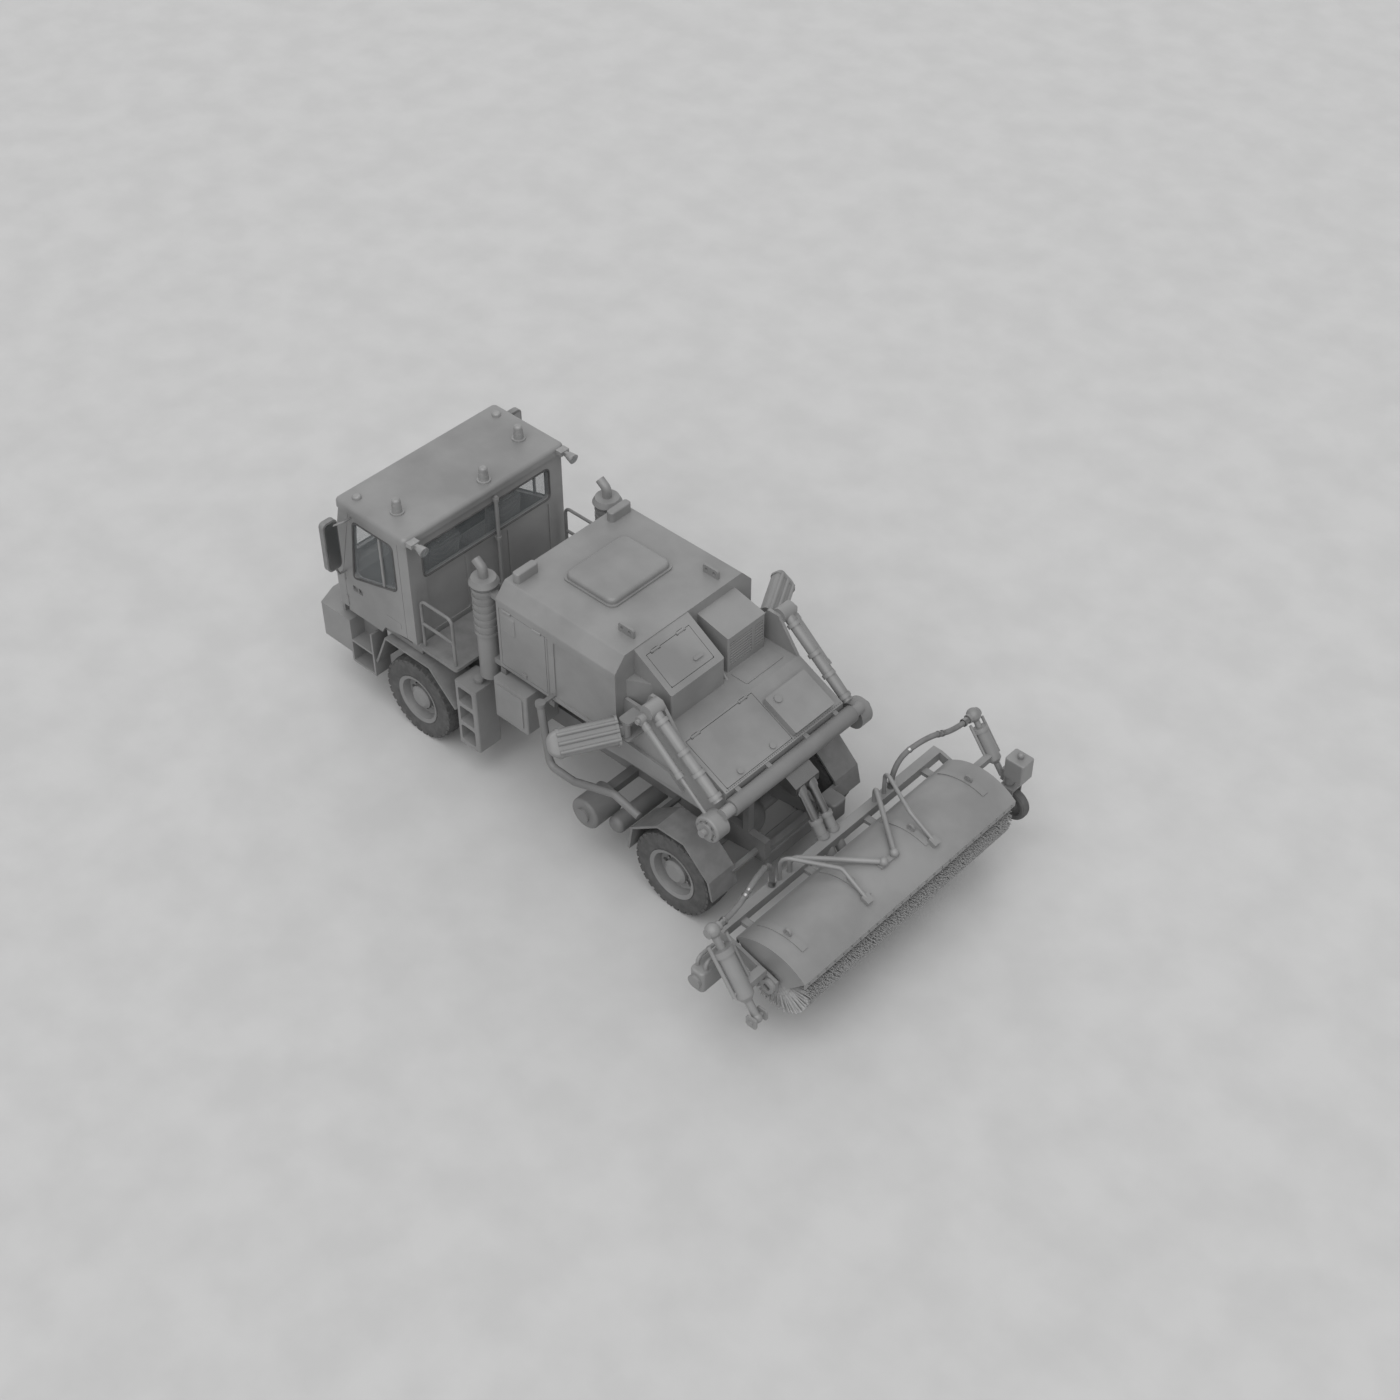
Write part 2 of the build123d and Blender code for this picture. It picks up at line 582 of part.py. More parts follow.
def seat():
    """Left seat: pedestal, rounded cushion, raked back and head rest."""
    floor = CAB_FLOOR_Z + FLOOR_T
    y = (SEAT_Y - SEAT_HALF, SEAT_Y + SEAT_HALF)
    base = block((SEAT_X + SEAT_T, SEAT_X + SEAT_L - SEAT_T),
                 (SEAT_Y - 0.7 * SEAT_HALF, SEAT_Y + 0.7 * SEAT_HALF), (floor, floor + PEDESTAL_H))
    top = floor + PEDESTAL_H + SEAT_T
    cushion = side_prism(oblong((SEAT_X, top - SEAT_T), (SEAT_X + SEAT_L, top)), *y, corner=0.35 * SEAT_T)
    rake = 0.16 * BACK_H
    back = [(SEAT_X, top - SEAT_T / 2), (SEAT_X + SEAT_T, top - SEAT_T / 2),
            (SEAT_X + SEAT_T - rake, top + BACK_H), (SEAT_X - rake, top + BACK_H)]
    rest_x = SEAT_X - rake
    rest = oblong((rest_x, top + BACK_H + SEAT_T / 4), (rest_x + 0.8 * SEAT_T, top + BACK_H + 1.6 * SEAT_T))
    shape = base + cushion + side_prism(back, *y, corner=0.3 * SEAT_T)
    shape += side_prism(rest, SEAT_Y - SEAT_HALF / 2, SEAT_Y + SEAT_HALF / 2, SEAT_T / 4)
    for dy in (-SEAT_T / 2, SEAT_T / 2):
        shape += bar_z(rest_x + 0.4 * SEAT_T, SEAT_Y + dy, 0.08 * SEAT_T, top + BACK_H - SEAT_T / 4,
                       top + BACK_H + SEAT_T / 2)
    return shape


WHEEL_RING_R = 225.0
WHEEL_RING_T = 16.0
DASH_DEPTH = 160.0


def dashboard():
    """Dashboard across the cab with the steering column and wheel in front of the left seat."""
    floor = CAB_FLOOR_Z + FLOOR_T
    inner = CAB_INNER - DOOR_GAP
    back = CAB_FRONT - CAB_WALL
    face = back - DASH_DEPTH
    top = BELT_Z - 2 * DOOR_GAP
    shape = [(back, floor), (back, top), (face + 0.2 * DASH_DEPTH, top),
             (face - 0.35 * DASH_DEPTH, top - 0.45 * DASH_DEPTH), (face, top - 2.7 * DASH_DEPTH),
             (face, floor)]
    dash = side_prism(shape, -inner, inner)
    foot = (face, SEAT_Y, top - 0.45 * DASH_DEPTH)
    head = (face - 1.3 * DASH_DEPTH, SEAT_Y, top + 0.75 * DASH_DEPTH)
    dash += rod(foot, head, 2 * WHEEL_RING_T)
    tilt = Plane(origin=head, z_dir=Vector(*head) - Vector(*foot))
    dash += tilt * Torus(WHEEL_RING_R, WHEEL_RING_T)
    return dash + tilt * Box(2 * WHEEL_RING_R, 2.5 * WHEEL_RING_T, 1.2 * WHEEL_RING_T)


# Bumper, steps, fenders
LAMP_R = 70.0
LAMP_Y = 0.68 * CAB_HALF
LAMP_DEPTH = 60.0
BUMPER_CORNER = 110.0
BUMPER_FACE_HALF = BUMPER_HALF - 2.5 * BUMPER_CORNER
STEP_DEPTH = 240.0


def front_bumper():
    """Bumper with chamfered corners and sunk lamps, and the two-tread step boxes behind it."""
    inner = BUMPER_HALF - STEP_DEPTH
    half_plan = [(CAB_FRONT, 0), (CAB_FRONT, inner), (DOOR_FRONT, inner), (DOOR_FRONT, BUMPER_HALF),
                 (BUMPER_FRONT - BUMPER_CORNER, BUMPER_HALF), (BUMPER_FRONT, BUMPER_FACE_HALF),
                 (BUMPER_FRONT, 0)]
    bumper = plan_prism(half_plan, BUMPER_BOTTOM, BUMPER_TOP)
    lamp_z = BUMPER_TOP - 2.4 * LAMP_DEPTH * 1.6
    hollow = oblong((LAMP_Y - 2.3 * LAMP_R, lamp_z - 1.3 * LAMP_R),
                    (LAMP_Y + 2.3 * LAMP_R, lamp_z + 1.3 * LAMP_R))
    bumper -= end_prism(hollow, BUMPER_FRONT - LAMP_DEPTH, BUMPER_FRONT + LAMP_DEPTH, LAMP_R / 2)
    for y in (LAMP_Y - 1.15 * LAMP_R, LAMP_Y + 1.15 * LAMP_R):
        bumper += rod((BUMPER_FRONT - LAMP_DEPTH, y, lamp_z), (BUMPER_FRONT - LAMP_DEPTH / 4, y, lamp_z),
                      LAMP_R)
    y = (inner, BUMPER_HALF)
    middle = (STEP_BOTTOM + BUMPER_TOP) / 2
    bumper += block((STEP_REAR, DOOR_FRONT), (inner, inner + STEP_T), (STEP_BOTTOM, BUMPER_TOP))
    bumper += block((STEP_REAR, STEP_REAR + STEP_T), y, (STEP_BOTTOM, BUMPER_TOP))
    bumper += block((DOOR_FRONT, DOOR_FRONT + STEP_T), y, (STEP_BOTTOM, BUMPER_BOTTOM))
    for z in (STEP_BOTTOM, middle):
        bumper += block((STEP_REAR, DOOR_FRONT + STEP_T), y, (z, z + STEP_T))
    return bumper + mirrored(bumper)


# Outer points of a fender: x from the axle and z from the axle, each beyond the tyre's radius
# with the sign of its side, or inside it where the second factor is less than one.
# Columns: share of the tyre's radius in x, extra x, share of the tyre's radius in z, extra z.
FRONT_ARCH = [(1, 135, 0.4, 0), (1, -90, 1, 180), (-1, 225, 1, 190), (-1, -190, 0.6, 0)]
REAR_ARCH = [(1, 95, 0, 5), (1, 35, 0.6, 40), (0.34, 0, 1, 120), (-0.39, 0, 1, 127), (-1, -35, 0.5, 40),
             (-1, -95, 0, 55)]
STAY_HALF = 30.0
STAY_T = 40.0


def fender(axle_x, arch):
    """Left fender: a bent plate over the wheel with a stay at each end to the rail."""
    outer = [(axle_x + share_x * TYRE_R + x, TYRE_R * (1 + share_z) + z) for share_x, x, share_z, z in arch]
    inner = []
    for x, z in outer:
        reach = math.hypot(x - axle_x, z - TYRE_R)
        scale = (reach - FENDER_T) / reach
        inner.append((axle_x + (x - axle_x) * scale, TYRE_R + (z - TYRE_R) * scale))
    plate = side_prism(outer + inner[::-1], FENDER_IN, FENDER_OUT)
    for end, step in ((0, 1), (-1, -2)):
        x0, z0 = outer[end]
        stay_z = max(RAIL_BOTTOM + 2 * STAY_T, z0 + STAY_T)
        x1, z1 = outer[step]
        x = x0 + (x1 - x0) * (stay_z - z0) / (z1 - z0)
        x -= math.copysign(FENDER_T / 2, x - axle_x)
        plate += block((x - STAY_HALF, x + STAY_HALF), (RAIL_OUT, FENDER_IN + STAY_T),
                       (stay_z - STAY_T / 2, stay_z + STAY_T / 2))
    return plate


def fenders():
    return both(fender(WHEELBASE, FRONT_ARCH), fender(0, REAR_ARCH))


# Walkway behind the cab
def platform():
    plate = block((WALK_REAR, WALK_FRONT), (-CAB_HALF, CAB_HALF), (WALK_Z, WALK_Z + WALK_T))
    return fillet(plate.edges().filter_by(Axis.Z), radius=WALK_T)


def handrail():
    """Left handrail: a hoop with a middle bar."""
    y = CAB_HALF - 2.65 * RAIL_TUBE_R
    base = WALK_Z + WALK_T
    x = (WALK_FRONT - 3 * RAIL_TUBE_R, WALK_REAR + 3 * RAIL_TUBE_R)
    top = base + RAIL_TUBE_H
    rail = pipe([(x[0], y, base), (x[0], y, top), (x[1], y, top), (x[1], y, base)], RAIL_TUBE_R,
                4 * RAIL_TUBE_R)
    return rail + rod((x[0], y, base + RAIL_TUBE_H / 2), (x[1], y, base + RAIL_TUBE_H / 2), RAIL_TUBE_R)


TANK_L = 350.0
TANK_REAR = WALK_REAR - TANK_L + 20.0
TANK_BOTTOM = RAIL_BOTTOM - 300.0
TANK_TOP = RAIL_TOP + 390.0
TANK_IN = FENDER_IN + 40.0
TREADS = 3
NECK_R = 45.0
SIDE_BOX_L = 530.0
SIDE_BOX_OUT = FENDER_OUT - 45.0
SIDE_BOX_IN = HOOD_HALF - 375.0
SIDE_BOX_LOW = HOOD_BOTTOM - 640.0


def side_tank():
    """Left ladder tank below the walkway, with step openings and a filler neck."""
    front = WALK_REAR + 20.0
    tank = block((TANK_REAR, front), (TANK_IN, FENDER_OUT), (TANK_BOTTOM, TANK_TOP))
    tank = fillet(tank.edges().filter_by(Axis.Z), radius=STEP_T)
    pitch = (TANK_TOP - TANK_BOTTOM - 2 * STEP_T) / TREADS
    for i in range(TREADS):
        low = TANK_BOTTOM + 2 * STEP_T + i * pitch
        tread = oblong((TANK_REAR + 2 * STEP_T, low), (front - 2 * STEP_T, low + pitch - 2 * STEP_T))
        tank -= side_prism(tread, FENDER_OUT - 0.45 * TANK_L, FENDER_OUT + STEP_T, STEP_T)
    tank += block((TANK_REAR + 0.3 * TANK_L, TANK_REAR + 0.7 * TANK_L), (RAIL_OUT, TANK_IN),
                  (RAIL_BOTTOM, RAIL_TOP - RAIL_H / 2))
    x = TANK_REAR + 0.3 * TANK_L
    y = (TANK_IN + FENDER_OUT) / 2
    tank += bar_z(x, y, NECK_R, TANK_TOP, TANK_TOP + NECK_R)
    return tank + bar_z(x, y, 1.35 * NECK_R, TANK_TOP + NECK_R, TANK_TOP + 1.7 * NECK_R)


def side_box():
    """Left equipment box hung under the hood, its front lid panelled."""
    x = (HOOD_FRONT + 10.0 - SIDE_BOX_L, HOOD_FRONT + 10.0)
    box = block(x, (SIDE_BOX_IN, SIDE_BOX_OUT), (SIDE_BOX_LOW, POST_TOP))
    box = fillet(box.edges().filter_by(Axis.Z), radius=STEP_T)
    lid = oblong((x[0] + 2 * STEP_T, SIDE_BOX_LOW + 2 * STEP_T), (x[1] - 2 * STEP_T, POST_TOP - 2 * STEP_T))
    return box + side_prism(lid, SIDE_BOX_OUT, SIDE_BOX_OUT + PANEL_DEPTH, STEP_T)


STACK_X = HOOD_FRONT + 295.0
STACK_Y = HOOD_HALF - 108.0
STACK_R = 130.0
STACK_TOP = HOOD_TOP - 160.0
STACK_RIBS = 7
OUTLET_R = 55.0


def exhaust_stack():
    """Left stack: silencer, ribbed heat guard, flared cap and a bent outlet."""
    middle = STACK_TOP - 5.5 * STACK_R
    low = DECK_BOTTOM
    stack = bar_z(STACK_X, STACK_Y, STACK_R, low, middle)
    stack += bar_z(STACK_X, STACK_Y, 1.06 * STACK_R, middle, STACK_TOP)
    pitch = (STACK_TOP - middle) / STACK_RIBS
    for i in range(STACK_RIBS):
        z = middle + i * pitch
        stack += bar_z(STACK_X, STACK_Y, 1.16 * STACK_R, z, z + 0.45 * pitch)
    stack += rod((STACK_X, STACK_Y, STACK_TOP), (STACK_X, STACK_Y, STACK_TOP + STACK_R / 2), 1.35 * STACK_R,
                 1.1 * STACK_R)
    top = STACK_TOP + STACK_R / 2
    stack += pipe([(STACK_X, STACK_Y, top), (STACK_X, STACK_Y, top + 2 * OUTLET_R),
                   (STACK_X + 2 * OUTLET_R, STACK_Y, top + 3.5 * OUTLET_R)], OUTLET_R, 1.5 * OUTLET_R)
    y = (STACK_Y - STACK_R / 3, STACK_Y + STACK_R / 3)
    stack += block((HOOD_FRONT, STACK_X), y, (POST_TOP, HOOD_BOTTOM))
    return stack + block((HOOD_FRONT, STACK_X), y, (STACK_TOP - STACK_R, STACK_TOP - STACK_R / 2))


# Hood
HOOD_EDGE = 30.0
HOOD_DOOR_REAR = HOOD_SEAM + 55.0
HOOD_DOOR_FRONT = HOOD_FRONT - 45.0
HOOD_DOOR_LOW = HOOD_BOTTOM + 75.0
HOOD_DOOR_HIGH = HOOD_SHOULDER - 105.0
HATCH_RISE = 90.0
HATCH_HALF = HOOD_TOP_HALF - 448.0
HATCH_REAR = HOOD_SEAM - 390.0
HATCH_FRONT = HOOD_SEAM + 350.0
LOUVRES = 7
LOUVRE_L = 200.0
LOUVRE_PITCH = 34.0
LOUVRE_RISE = 14.0


def hood_section(inset):
    """End-view outline of the hood, drawn in by a wall thickness."""
    half = HOOD_HALF - inset
    ease = 0.42 * inset
    return [(-half, HOOD_BOTTOM), (-half, HOOD_SHOULDER - ease), (-HOOD_TOP_HALF + ease, HOOD_TOP - inset),
            (HOOD_TOP_HALF - ease, HOOD_TOP - inset), (half, HOOD_SHOULDER - ease), (half, HOOD_BOTTOM)]


def hood_door_hinge():
    """Left hood door hinge, along the top edge of its opening."""
    middle = (HOOD_DOOR_REAR + HOOD_DOOR_FRONT) / 2
    reach = 0.33 * (HOOD_DOOR_FRONT - HOOD_DOOR_REAR)
    return Hinge((middle, HOOD_HALF, HOOD_DOOR_HIGH + DOOR_GAP / 2), (1, 0, 0), (-reach, reach))


def top_hatch(x0, x1):
    """Part of the low rounded hatch on the hood's top, with its base lip."""
    lip = 0.25 * HATCH_RISE
    cover = soft_block((HATCH_REAR, HATCH_FRONT), (-HATCH_HALF, HATCH_HALF),
                       (HOOD_TOP, HOOD_TOP + HATCH_RISE), HATCH_RISE)
    base = block((HATCH_REAR - lip, HATCH_FRONT + lip), (-HATCH_HALF - lip, HATCH_HALF + lip),
                 (HOOD_TOP, HOOD_TOP + lip))
    base = fillet(base.edges().filter_by(Axis.Z), radius=HATCH_RISE)
    return (cover + base) & block((x0, x1), (-HOOD_HALF, HOOD_HALF), (HOOD_TOP, HOOD_TOP + 2 * HATCH_RISE))


BAR_BLOCK_L = 350.0
BAR_BLOCK_H = 130.0


def hood_front():
    """Front bay over the engine: hollow, open at the bottom and at the two side doors."""
    shell = end_prism(hood_section(0), HOOD_SEAM, HOOD_FRONT, HOOD_EDGE)
    shell -= end_prism(hood_section(HOOD_WALL), HOOD_SEAM + HOOD_WALL, HOOD_FRONT - HOOD_WALL)
    gap = DOOR_GAP
    shell -= block((HOOD_DOOR_REAR - gap, HOOD_DOOR_FRONT + gap), (-2 * HOOD_HALF, 2 * HOOD_HALF),
                   (HOOD_DOOR_LOW - gap, HOOD_DOOR_HIGH + gap))
    shell = hood_door_hinge().fit_fixed(shell)
    shell = mirrored(hood_door_hinge().fit_fixed(mirrored(shell)))
    bead_x = (HOOD_SEAM + HOOD_DOOR_REAR) / 2
    bead_r = 0.35 * HOOD_EDGE
    bead = bar_z(bead_x, HOOD_HALF, bead_r, HOOD_DOOR_LOW, HOOD_DOOR_HIGH)
    x = HOOD_FRONT - BAR_BLOCK_H
    bar = soft_block((x - 0.4 * BAR_BLOCK_H, x + 0.4 * BAR_BLOCK_H),
                     (HOOD_TOP_HALF - BAR_BLOCK_L, HOOD_TOP_HALF - HOOD_EDGE),
                     (HOOD_TOP, HOOD_TOP + BAR_BLOCK_H), 0.3 * BAR_BLOCK_H)
    extras = bead + bar
    return shell + extras + mirrored(extras) + top_hatch(HOOD_SEAM, HATCH_FRONT + HATCH_RISE)


LUG_X = HOOD_REAR + 220.0
LUG_Y = HOOD_TOP_HALF - 258.0
LUG_H = 110.0


def lifting_lug():
    """Left pad eye on the hood's top: a rounded plate with two holes."""
    plate = side_prism(oblong((LUG_X - LUG_H, HOOD_TOP - HOOD_EDGE), (LUG_X + LUG_H, HOOD_TOP + LUG_H)),
                       LUG_Y - 0.15 * LUG_H, LUG_Y + 0.15 * LUG_H, 0.25 * LUG_H)
    for dx in (-0.5 * LUG_H, 0.5 * LUG_H):
        plate -= bar_y(LUG_X + dx, HOOD_TOP + 0.5 * LUG_H, 0.22 * LUG_H, LUG_Y - LUG_H, LUG_Y + LUG_H)
    return plate


def hood_rear():
    body = end_prism(hood_section(0), HOOD_REAR, HOOD_SEAM, HOOD_EDGE)
    panel = oblong((HOOD_REAR + 2.5 * HOOD_EDGE, HOOD_DOOR_LOW),
                   (HOOD_SEAM - 2.5 * HOOD_EDGE, HOOD_DOOR_HIGH))
    for side in SIDES:
        sunk = side_prism(panel, HOOD_HALF - PANEL_DEPTH, HOOD_HALF + HOOD_WALL, HOOD_EDGE)
        body -= on_side(sunk, side)
        body += on_side(lifting_lug(), side)
    return body + top_hatch(HATCH_REAR - HATCH_RISE, HOOD_SEAM)


def hood_door():
    """Left hood door with a louvre group in its upper front corner and a latch plate."""
    panel = block((HOOD_DOOR_REAR, HOOD_DOOR_FRONT), (HOOD_HALF - HOOD_WALL, HOOD_HALF),
                  (HOOD_DOOR_LOW, HOOD_DOOR_HIGH))
    x1 = HOOD_DOOR_FRONT - HOOD_WALL
    for i in range(LOUVRES):
        z = HOOD_DOOR_HIGH - HOOD_WALL - (i + 1) * LOUVRE_PITCH
        slat = [(HOOD_HALF, z), (HOOD_HALF + LOUVRE_RISE, z), (HOOD_HALF, z + 0.75 * LOUVRE_PITCH)]
        panel += end_prism(slat, x1 - LOUVRE_L, x1)
    middle = (HOOD_DOOR_REAR + HOOD_DOOR_FRONT) / 2
    latch = oblong((middle - LOUVRE_PITCH, HOOD_DOOR_LOW + LOUVRE_RISE),
                   (middle + LOUVRE_PITCH, HOOD_DOOR_LOW + 2 * LOUVRE_PITCH))
    panel += side_prism(latch, HOOD_HALF, HOOD_HALF + LOUVRE_RISE, LOUVRE_RISE / 2)
    return hood_door_hinge().fit_moving(panel)


# Rear blocks
BLOCK_Z = HOOD_TOP - 15.0
BLOCK_TAIL = HOOD_REAR - 535.0
BLOCK_TAIL_Z = DECK_Z + 367.0
BLOCK_LEFT = DECK_HALF - 170.0
BLOCK_RIGHT = -50.0
BLOCK_CORNER = 20.0
LID_LEFT = BLOCK_LEFT - 80.0
LID_RIGHT = BLOCK_RIGHT + 100.0
LID_T = 30.0
LID_START = 125.0
LID_LENGTH = 430.0
LID_FRAME = 40.0
POCKET_DEPTH = 160.0


def sloped_plane(top, low):
    """Plane through two side-view points (x, z), X up the slope, Y to the left."""
    upward = Vector(top[0] - low[0], 0, top[1] - low[1]).normalized()
    return Plane(origin=(top[0], 0, top[1]), x_dir=upward, z_dir=upward.cross(Vector(0, 1, 0)))


def slope_box(plane, along, across, up):
    """A box laid on a sloped plane by ranges down the slope, across and off it."""
    size = [pair[1] - pair[0] for pair in (along, across, up)]
    middle = [(pair[0] + pair[1]) / 2 for pair in (along, across, up)]
    return plane * Pos(-middle[0], middle[1], middle[2]) * Box(*size)


def block_slope():
    """Plane on the left block's sloped top, origin at its upper edge."""
    return sloped_plane((HOOD_REAR, BLOCK_Z), (BLOCK_TAIL, BLOCK_TAIL_Z))


def lid_hinge():
    """Hinge of the left block's lid, along its upper edge."""
    start = block_slope() * Pos(DOOR_GAP / 2 - LID_START, (LID_LEFT + LID_RIGHT) / 2, 0)
    reach = 0.3 * (LID_LEFT - LID_RIGHT)
    return Hinge(tuple(start.position), (0, 1, 0), (-reach, reach))


def left_block():
    """Tool locker with a sloped lid; its left wall flares out to the hood."""
    body = side_prism([(HOOD_REAR, BLOCK_Z), (HOOD_REAR, DECK_Z), (BLOCK_TAIL, DECK_Z),
                       (BLOCK_TAIL, BLOCK_TAIL_Z)], BLOCK_RIGHT, BLOCK_LEFT)
    body = fillet(body.edges().filter_by(Axis.Z).group_by(Axis.X)[0], radius=BLOCK_CORNER)
    flare = [(HOOD_REAR, BLOCK_LEFT), (HOOD_REAR, DECK_HALF - CHEEK_T),
             (HOOD_REAR - 2 * LID_START, BLOCK_LEFT)]
    body += plan_prism(flare, DECK_Z, BLOCK_TAIL_Z)
    gap = DOOR_GAP
    end = LID_START + LID_LENGTH
    plane = block_slope()
    body -= slope_box(plane, (LID_START - gap, end + gap), (LID_RIGHT - gap, LID_LEFT + gap),
                      (-LID_T, LID_FRAME))
    body -= slope_box(plane, (LID_START + LID_FRAME, end - LID_FRAME),
                      (LID_RIGHT + LID_FRAME, LID_LEFT - LID_FRAME), (-POCKET_DEPTH, 0))
    return lid_hinge().fit_fixed(body)


def block_lid():
    """Sloped lid with an oval grip."""
    end = LID_START + LID_LENGTH
    plane = block_slope()
    lid = slope_box(plane, (LID_START, end), (LID_RIGHT, LID_LEFT), (1 - LID_T, 0))
    lid = fillet(lid.edges().filter_by(Axis((0, 0, 0), plane.z_dir)).group_by(Axis.X)[0], radius=BLOCK_CORNER)
    lid = lid_hinge().fit_moving(lid)
    place = plane * Pos(2.5 * LID_FRAME - end, LID_RIGHT + 4 * LID_FRAME, 0)
    grip = place * SlotOverall(3.5 * LID_FRAME, LID_FRAME, rotation=90)
    return lid + extrude(grip, amount=0.6 * LID_FRAME, dir=plane.z_dir)


RIGHT_BLOCK_IN = -200.0
RIGHT_BLOCK_OUT = -DECK_HALF + 150.0
RIGHT_BLOCK_Z = HOOD_TOP - 135.0
RIGHT_BLOCK_TAIL = HOOD_REAR - 450.0
RIGHT_BLOCK_DROP = 105.0
GRILLE_SLATS = 8
ROD_R = 22.0


def right_block():
    """Intake box: gently sloped top, two louvred openings in its rear face."""
    shape = [(HOOD_REAR, RIGHT_BLOCK_Z), (HOOD_REAR, DECK_Z), (RIGHT_BLOCK_TAIL, DECK_Z),
             (RIGHT_BLOCK_TAIL, RIGHT_BLOCK_Z - RIGHT_BLOCK_DROP)]
    body = side_prism(shape, RIGHT_BLOCK_OUT, RIGHT_BLOCK_IN)
    body = fillet(body.edges().filter_by(Axis.Z).group_by(Axis.X)[0], radius=BLOCK_CORNER)
    low = DECK_Z + 2 * LID_FRAME
    high = RIGHT_BLOCK_Z - RIGHT_BLOCK_DROP - 2 * LID_FRAME
    width = RIGHT_BLOCK_IN - RIGHT_BLOCK_OUT
    # Openings across the rear face: shares of the width where each begins and ends.
    for start, end in ((0.06, 0.28), (0.36, 0.94)):
        y = (RIGHT_BLOCK_OUT + start * width, RIGHT_BLOCK_OUT + end * width)
        body -= block((RIGHT_BLOCK_TAIL - LID_T, RIGHT_BLOCK_TAIL + LID_T), y, (low, high))
        pitch = (high - low) / GRILLE_SLATS
        for i in range(GRILLE_SLATS):
            z = low + (i + 0.15) * pitch
            slat = [(RIGHT_BLOCK_TAIL + 1, z), (RIGHT_BLOCK_TAIL + LID_T, z + 0.3 * pitch),
                    (RIGHT_BLOCK_TAIL + LID_T, z + 0.7 * pitch), (RIGHT_BLOCK_TAIL + 1, z + 0.4 * pitch)]
            body += side_prism(slat, *y)
    middle = (BLOCK_RIGHT + RIGHT_BLOCK_IN) / 2
    stay = rod((HOOD_REAR + LID_FRAME, middle, RIGHT_BLOCK_Z - RIGHT_BLOCK_DROP),
               (BLOCK_TAIL, middle, DECK_Z - LID_FRAME), ROD_R)
    stay &= block((BLOCK_TAIL, HOOD_REAR), (BLOCK_RIGHT, RIGHT_BLOCK_IN), (DECK_Z, HOOD_TOP))
    return group([body, stay])


# Rear deck
HATCH_LEFT = DECK_HALF - 60.0
HATCH_RIGHT = -140.0
HATCH_START = 28.0
HATCH_END_RIM = 40.0
HATCH_T = 30.0
HATCH_DEPTH = 180.0
CAP_R = 45.0
RAISED_H = 95.0
PLATE_T = 40.0
CHEEK_T = 40.0
CHEEK_TOP = DECK_Z + 415.0
DECK_TAIL_H = 345.0
NOZZLE_X = HOOD_REAR - 215.0
NOZZLE_Y = DECK_HALF + 190.0
NOZZLE_Z = DECK_Z - 45.0
NOZZLE_PIN_R = 30.0
NOZZLE_EYE_R = 50.0
NOZZLE_EYE_HALF = 100.0
NOZZLE_LUG_T = 30.0


def deck_slope():
    """Plane on the sloped deck, origin at its upper edge."""
    return sloped_plane((DECK_BEND, DECK_Z), (DECK_REAR, DECK_REAR_Z))


def hatch_end():
    """Distance down the slope to the hatch's lower edge."""
    return math.hypot(DECK_BEND - DECK_REAR, DECK_Z - DECK_REAR_Z) - HATCH_END_RIM


def hatch_hinge():
    """Hinge of the deck hatch, along its upper edge."""
    start = deck_slope() * Pos(DOOR_GAP / 2 - HATCH_START, (HATCH_LEFT + HATCH_RIGHT) / 2, 0)
    reach = 0.36 * (HATCH_LEFT - HATCH_RIGHT)
    return Hinge(tuple(start.position), (0, 1, 0), (-reach, reach))


def deck_side():
    """Left side of the deck: pointed side plate, boom cheek and the lugs and pin of the air nozzle."""
    plate = [(HOOD_REAR + 316.0, DECK_BOTTOM + 23.0), (HOOD_REAR, HOOD_BOTTOM),
             (0.26 * HOOD_REAR, HOOD_BOTTOM - PLATE_T), (PLATE_T, DECK_BOTTOM + 3.3 * PLATE_T)]
    side = side_prism(plate, DECK_HALF, DECK_HALF + PLATE_T)
    top_x = 0.5 * HOOD_REAR
    cheek = [(0.07 * HOOD_REAR, DECK_Z - 115.0), (HOOD_REAR, DECK_Z - 200.0), (HOOD_REAR, DECK_Z + 130.0),
             (top_x + 4.5 * CHEEK_T, DECK_Z + 130.0), (top_x + 2 * CHEEK_T, CHEEK_TOP),
             (top_x - 2 * CHEEK_T, CHEEK_TOP), (0.07 * HOOD_REAR, DECK_Z - 40.0)]
    side += side_prism(cheek, DECK_HALF - CHEEK_T, DECK_HALF, 0.5 * CHEEK_T)
    reach = NOZZLE_EYE_HALF + HINGE_END_GAP
    lug = oblong((NOZZLE_X - 1.6 * NOZZLE_EYE_R, DECK_HALF - CHEEK_T / 2),
                 (NOZZLE_X + 1.6 * NOZZLE_EYE_R, NOZZLE_Y + NOZZLE_EYE_R))
    for z in (NOZZLE_Z - reach - NOZZLE_LUG_T, NOZZLE_Z + reach):
        side += plan_prism(lug, z, z + NOZZLE_LUG_T, 0.9 * NOZZLE_EYE_R)
    return side + bar_z(NOZZLE_X, NOZZLE_Y, NOZZLE_PIN_R, NOZZLE_Z - reach, NOZZLE_Z + reach)


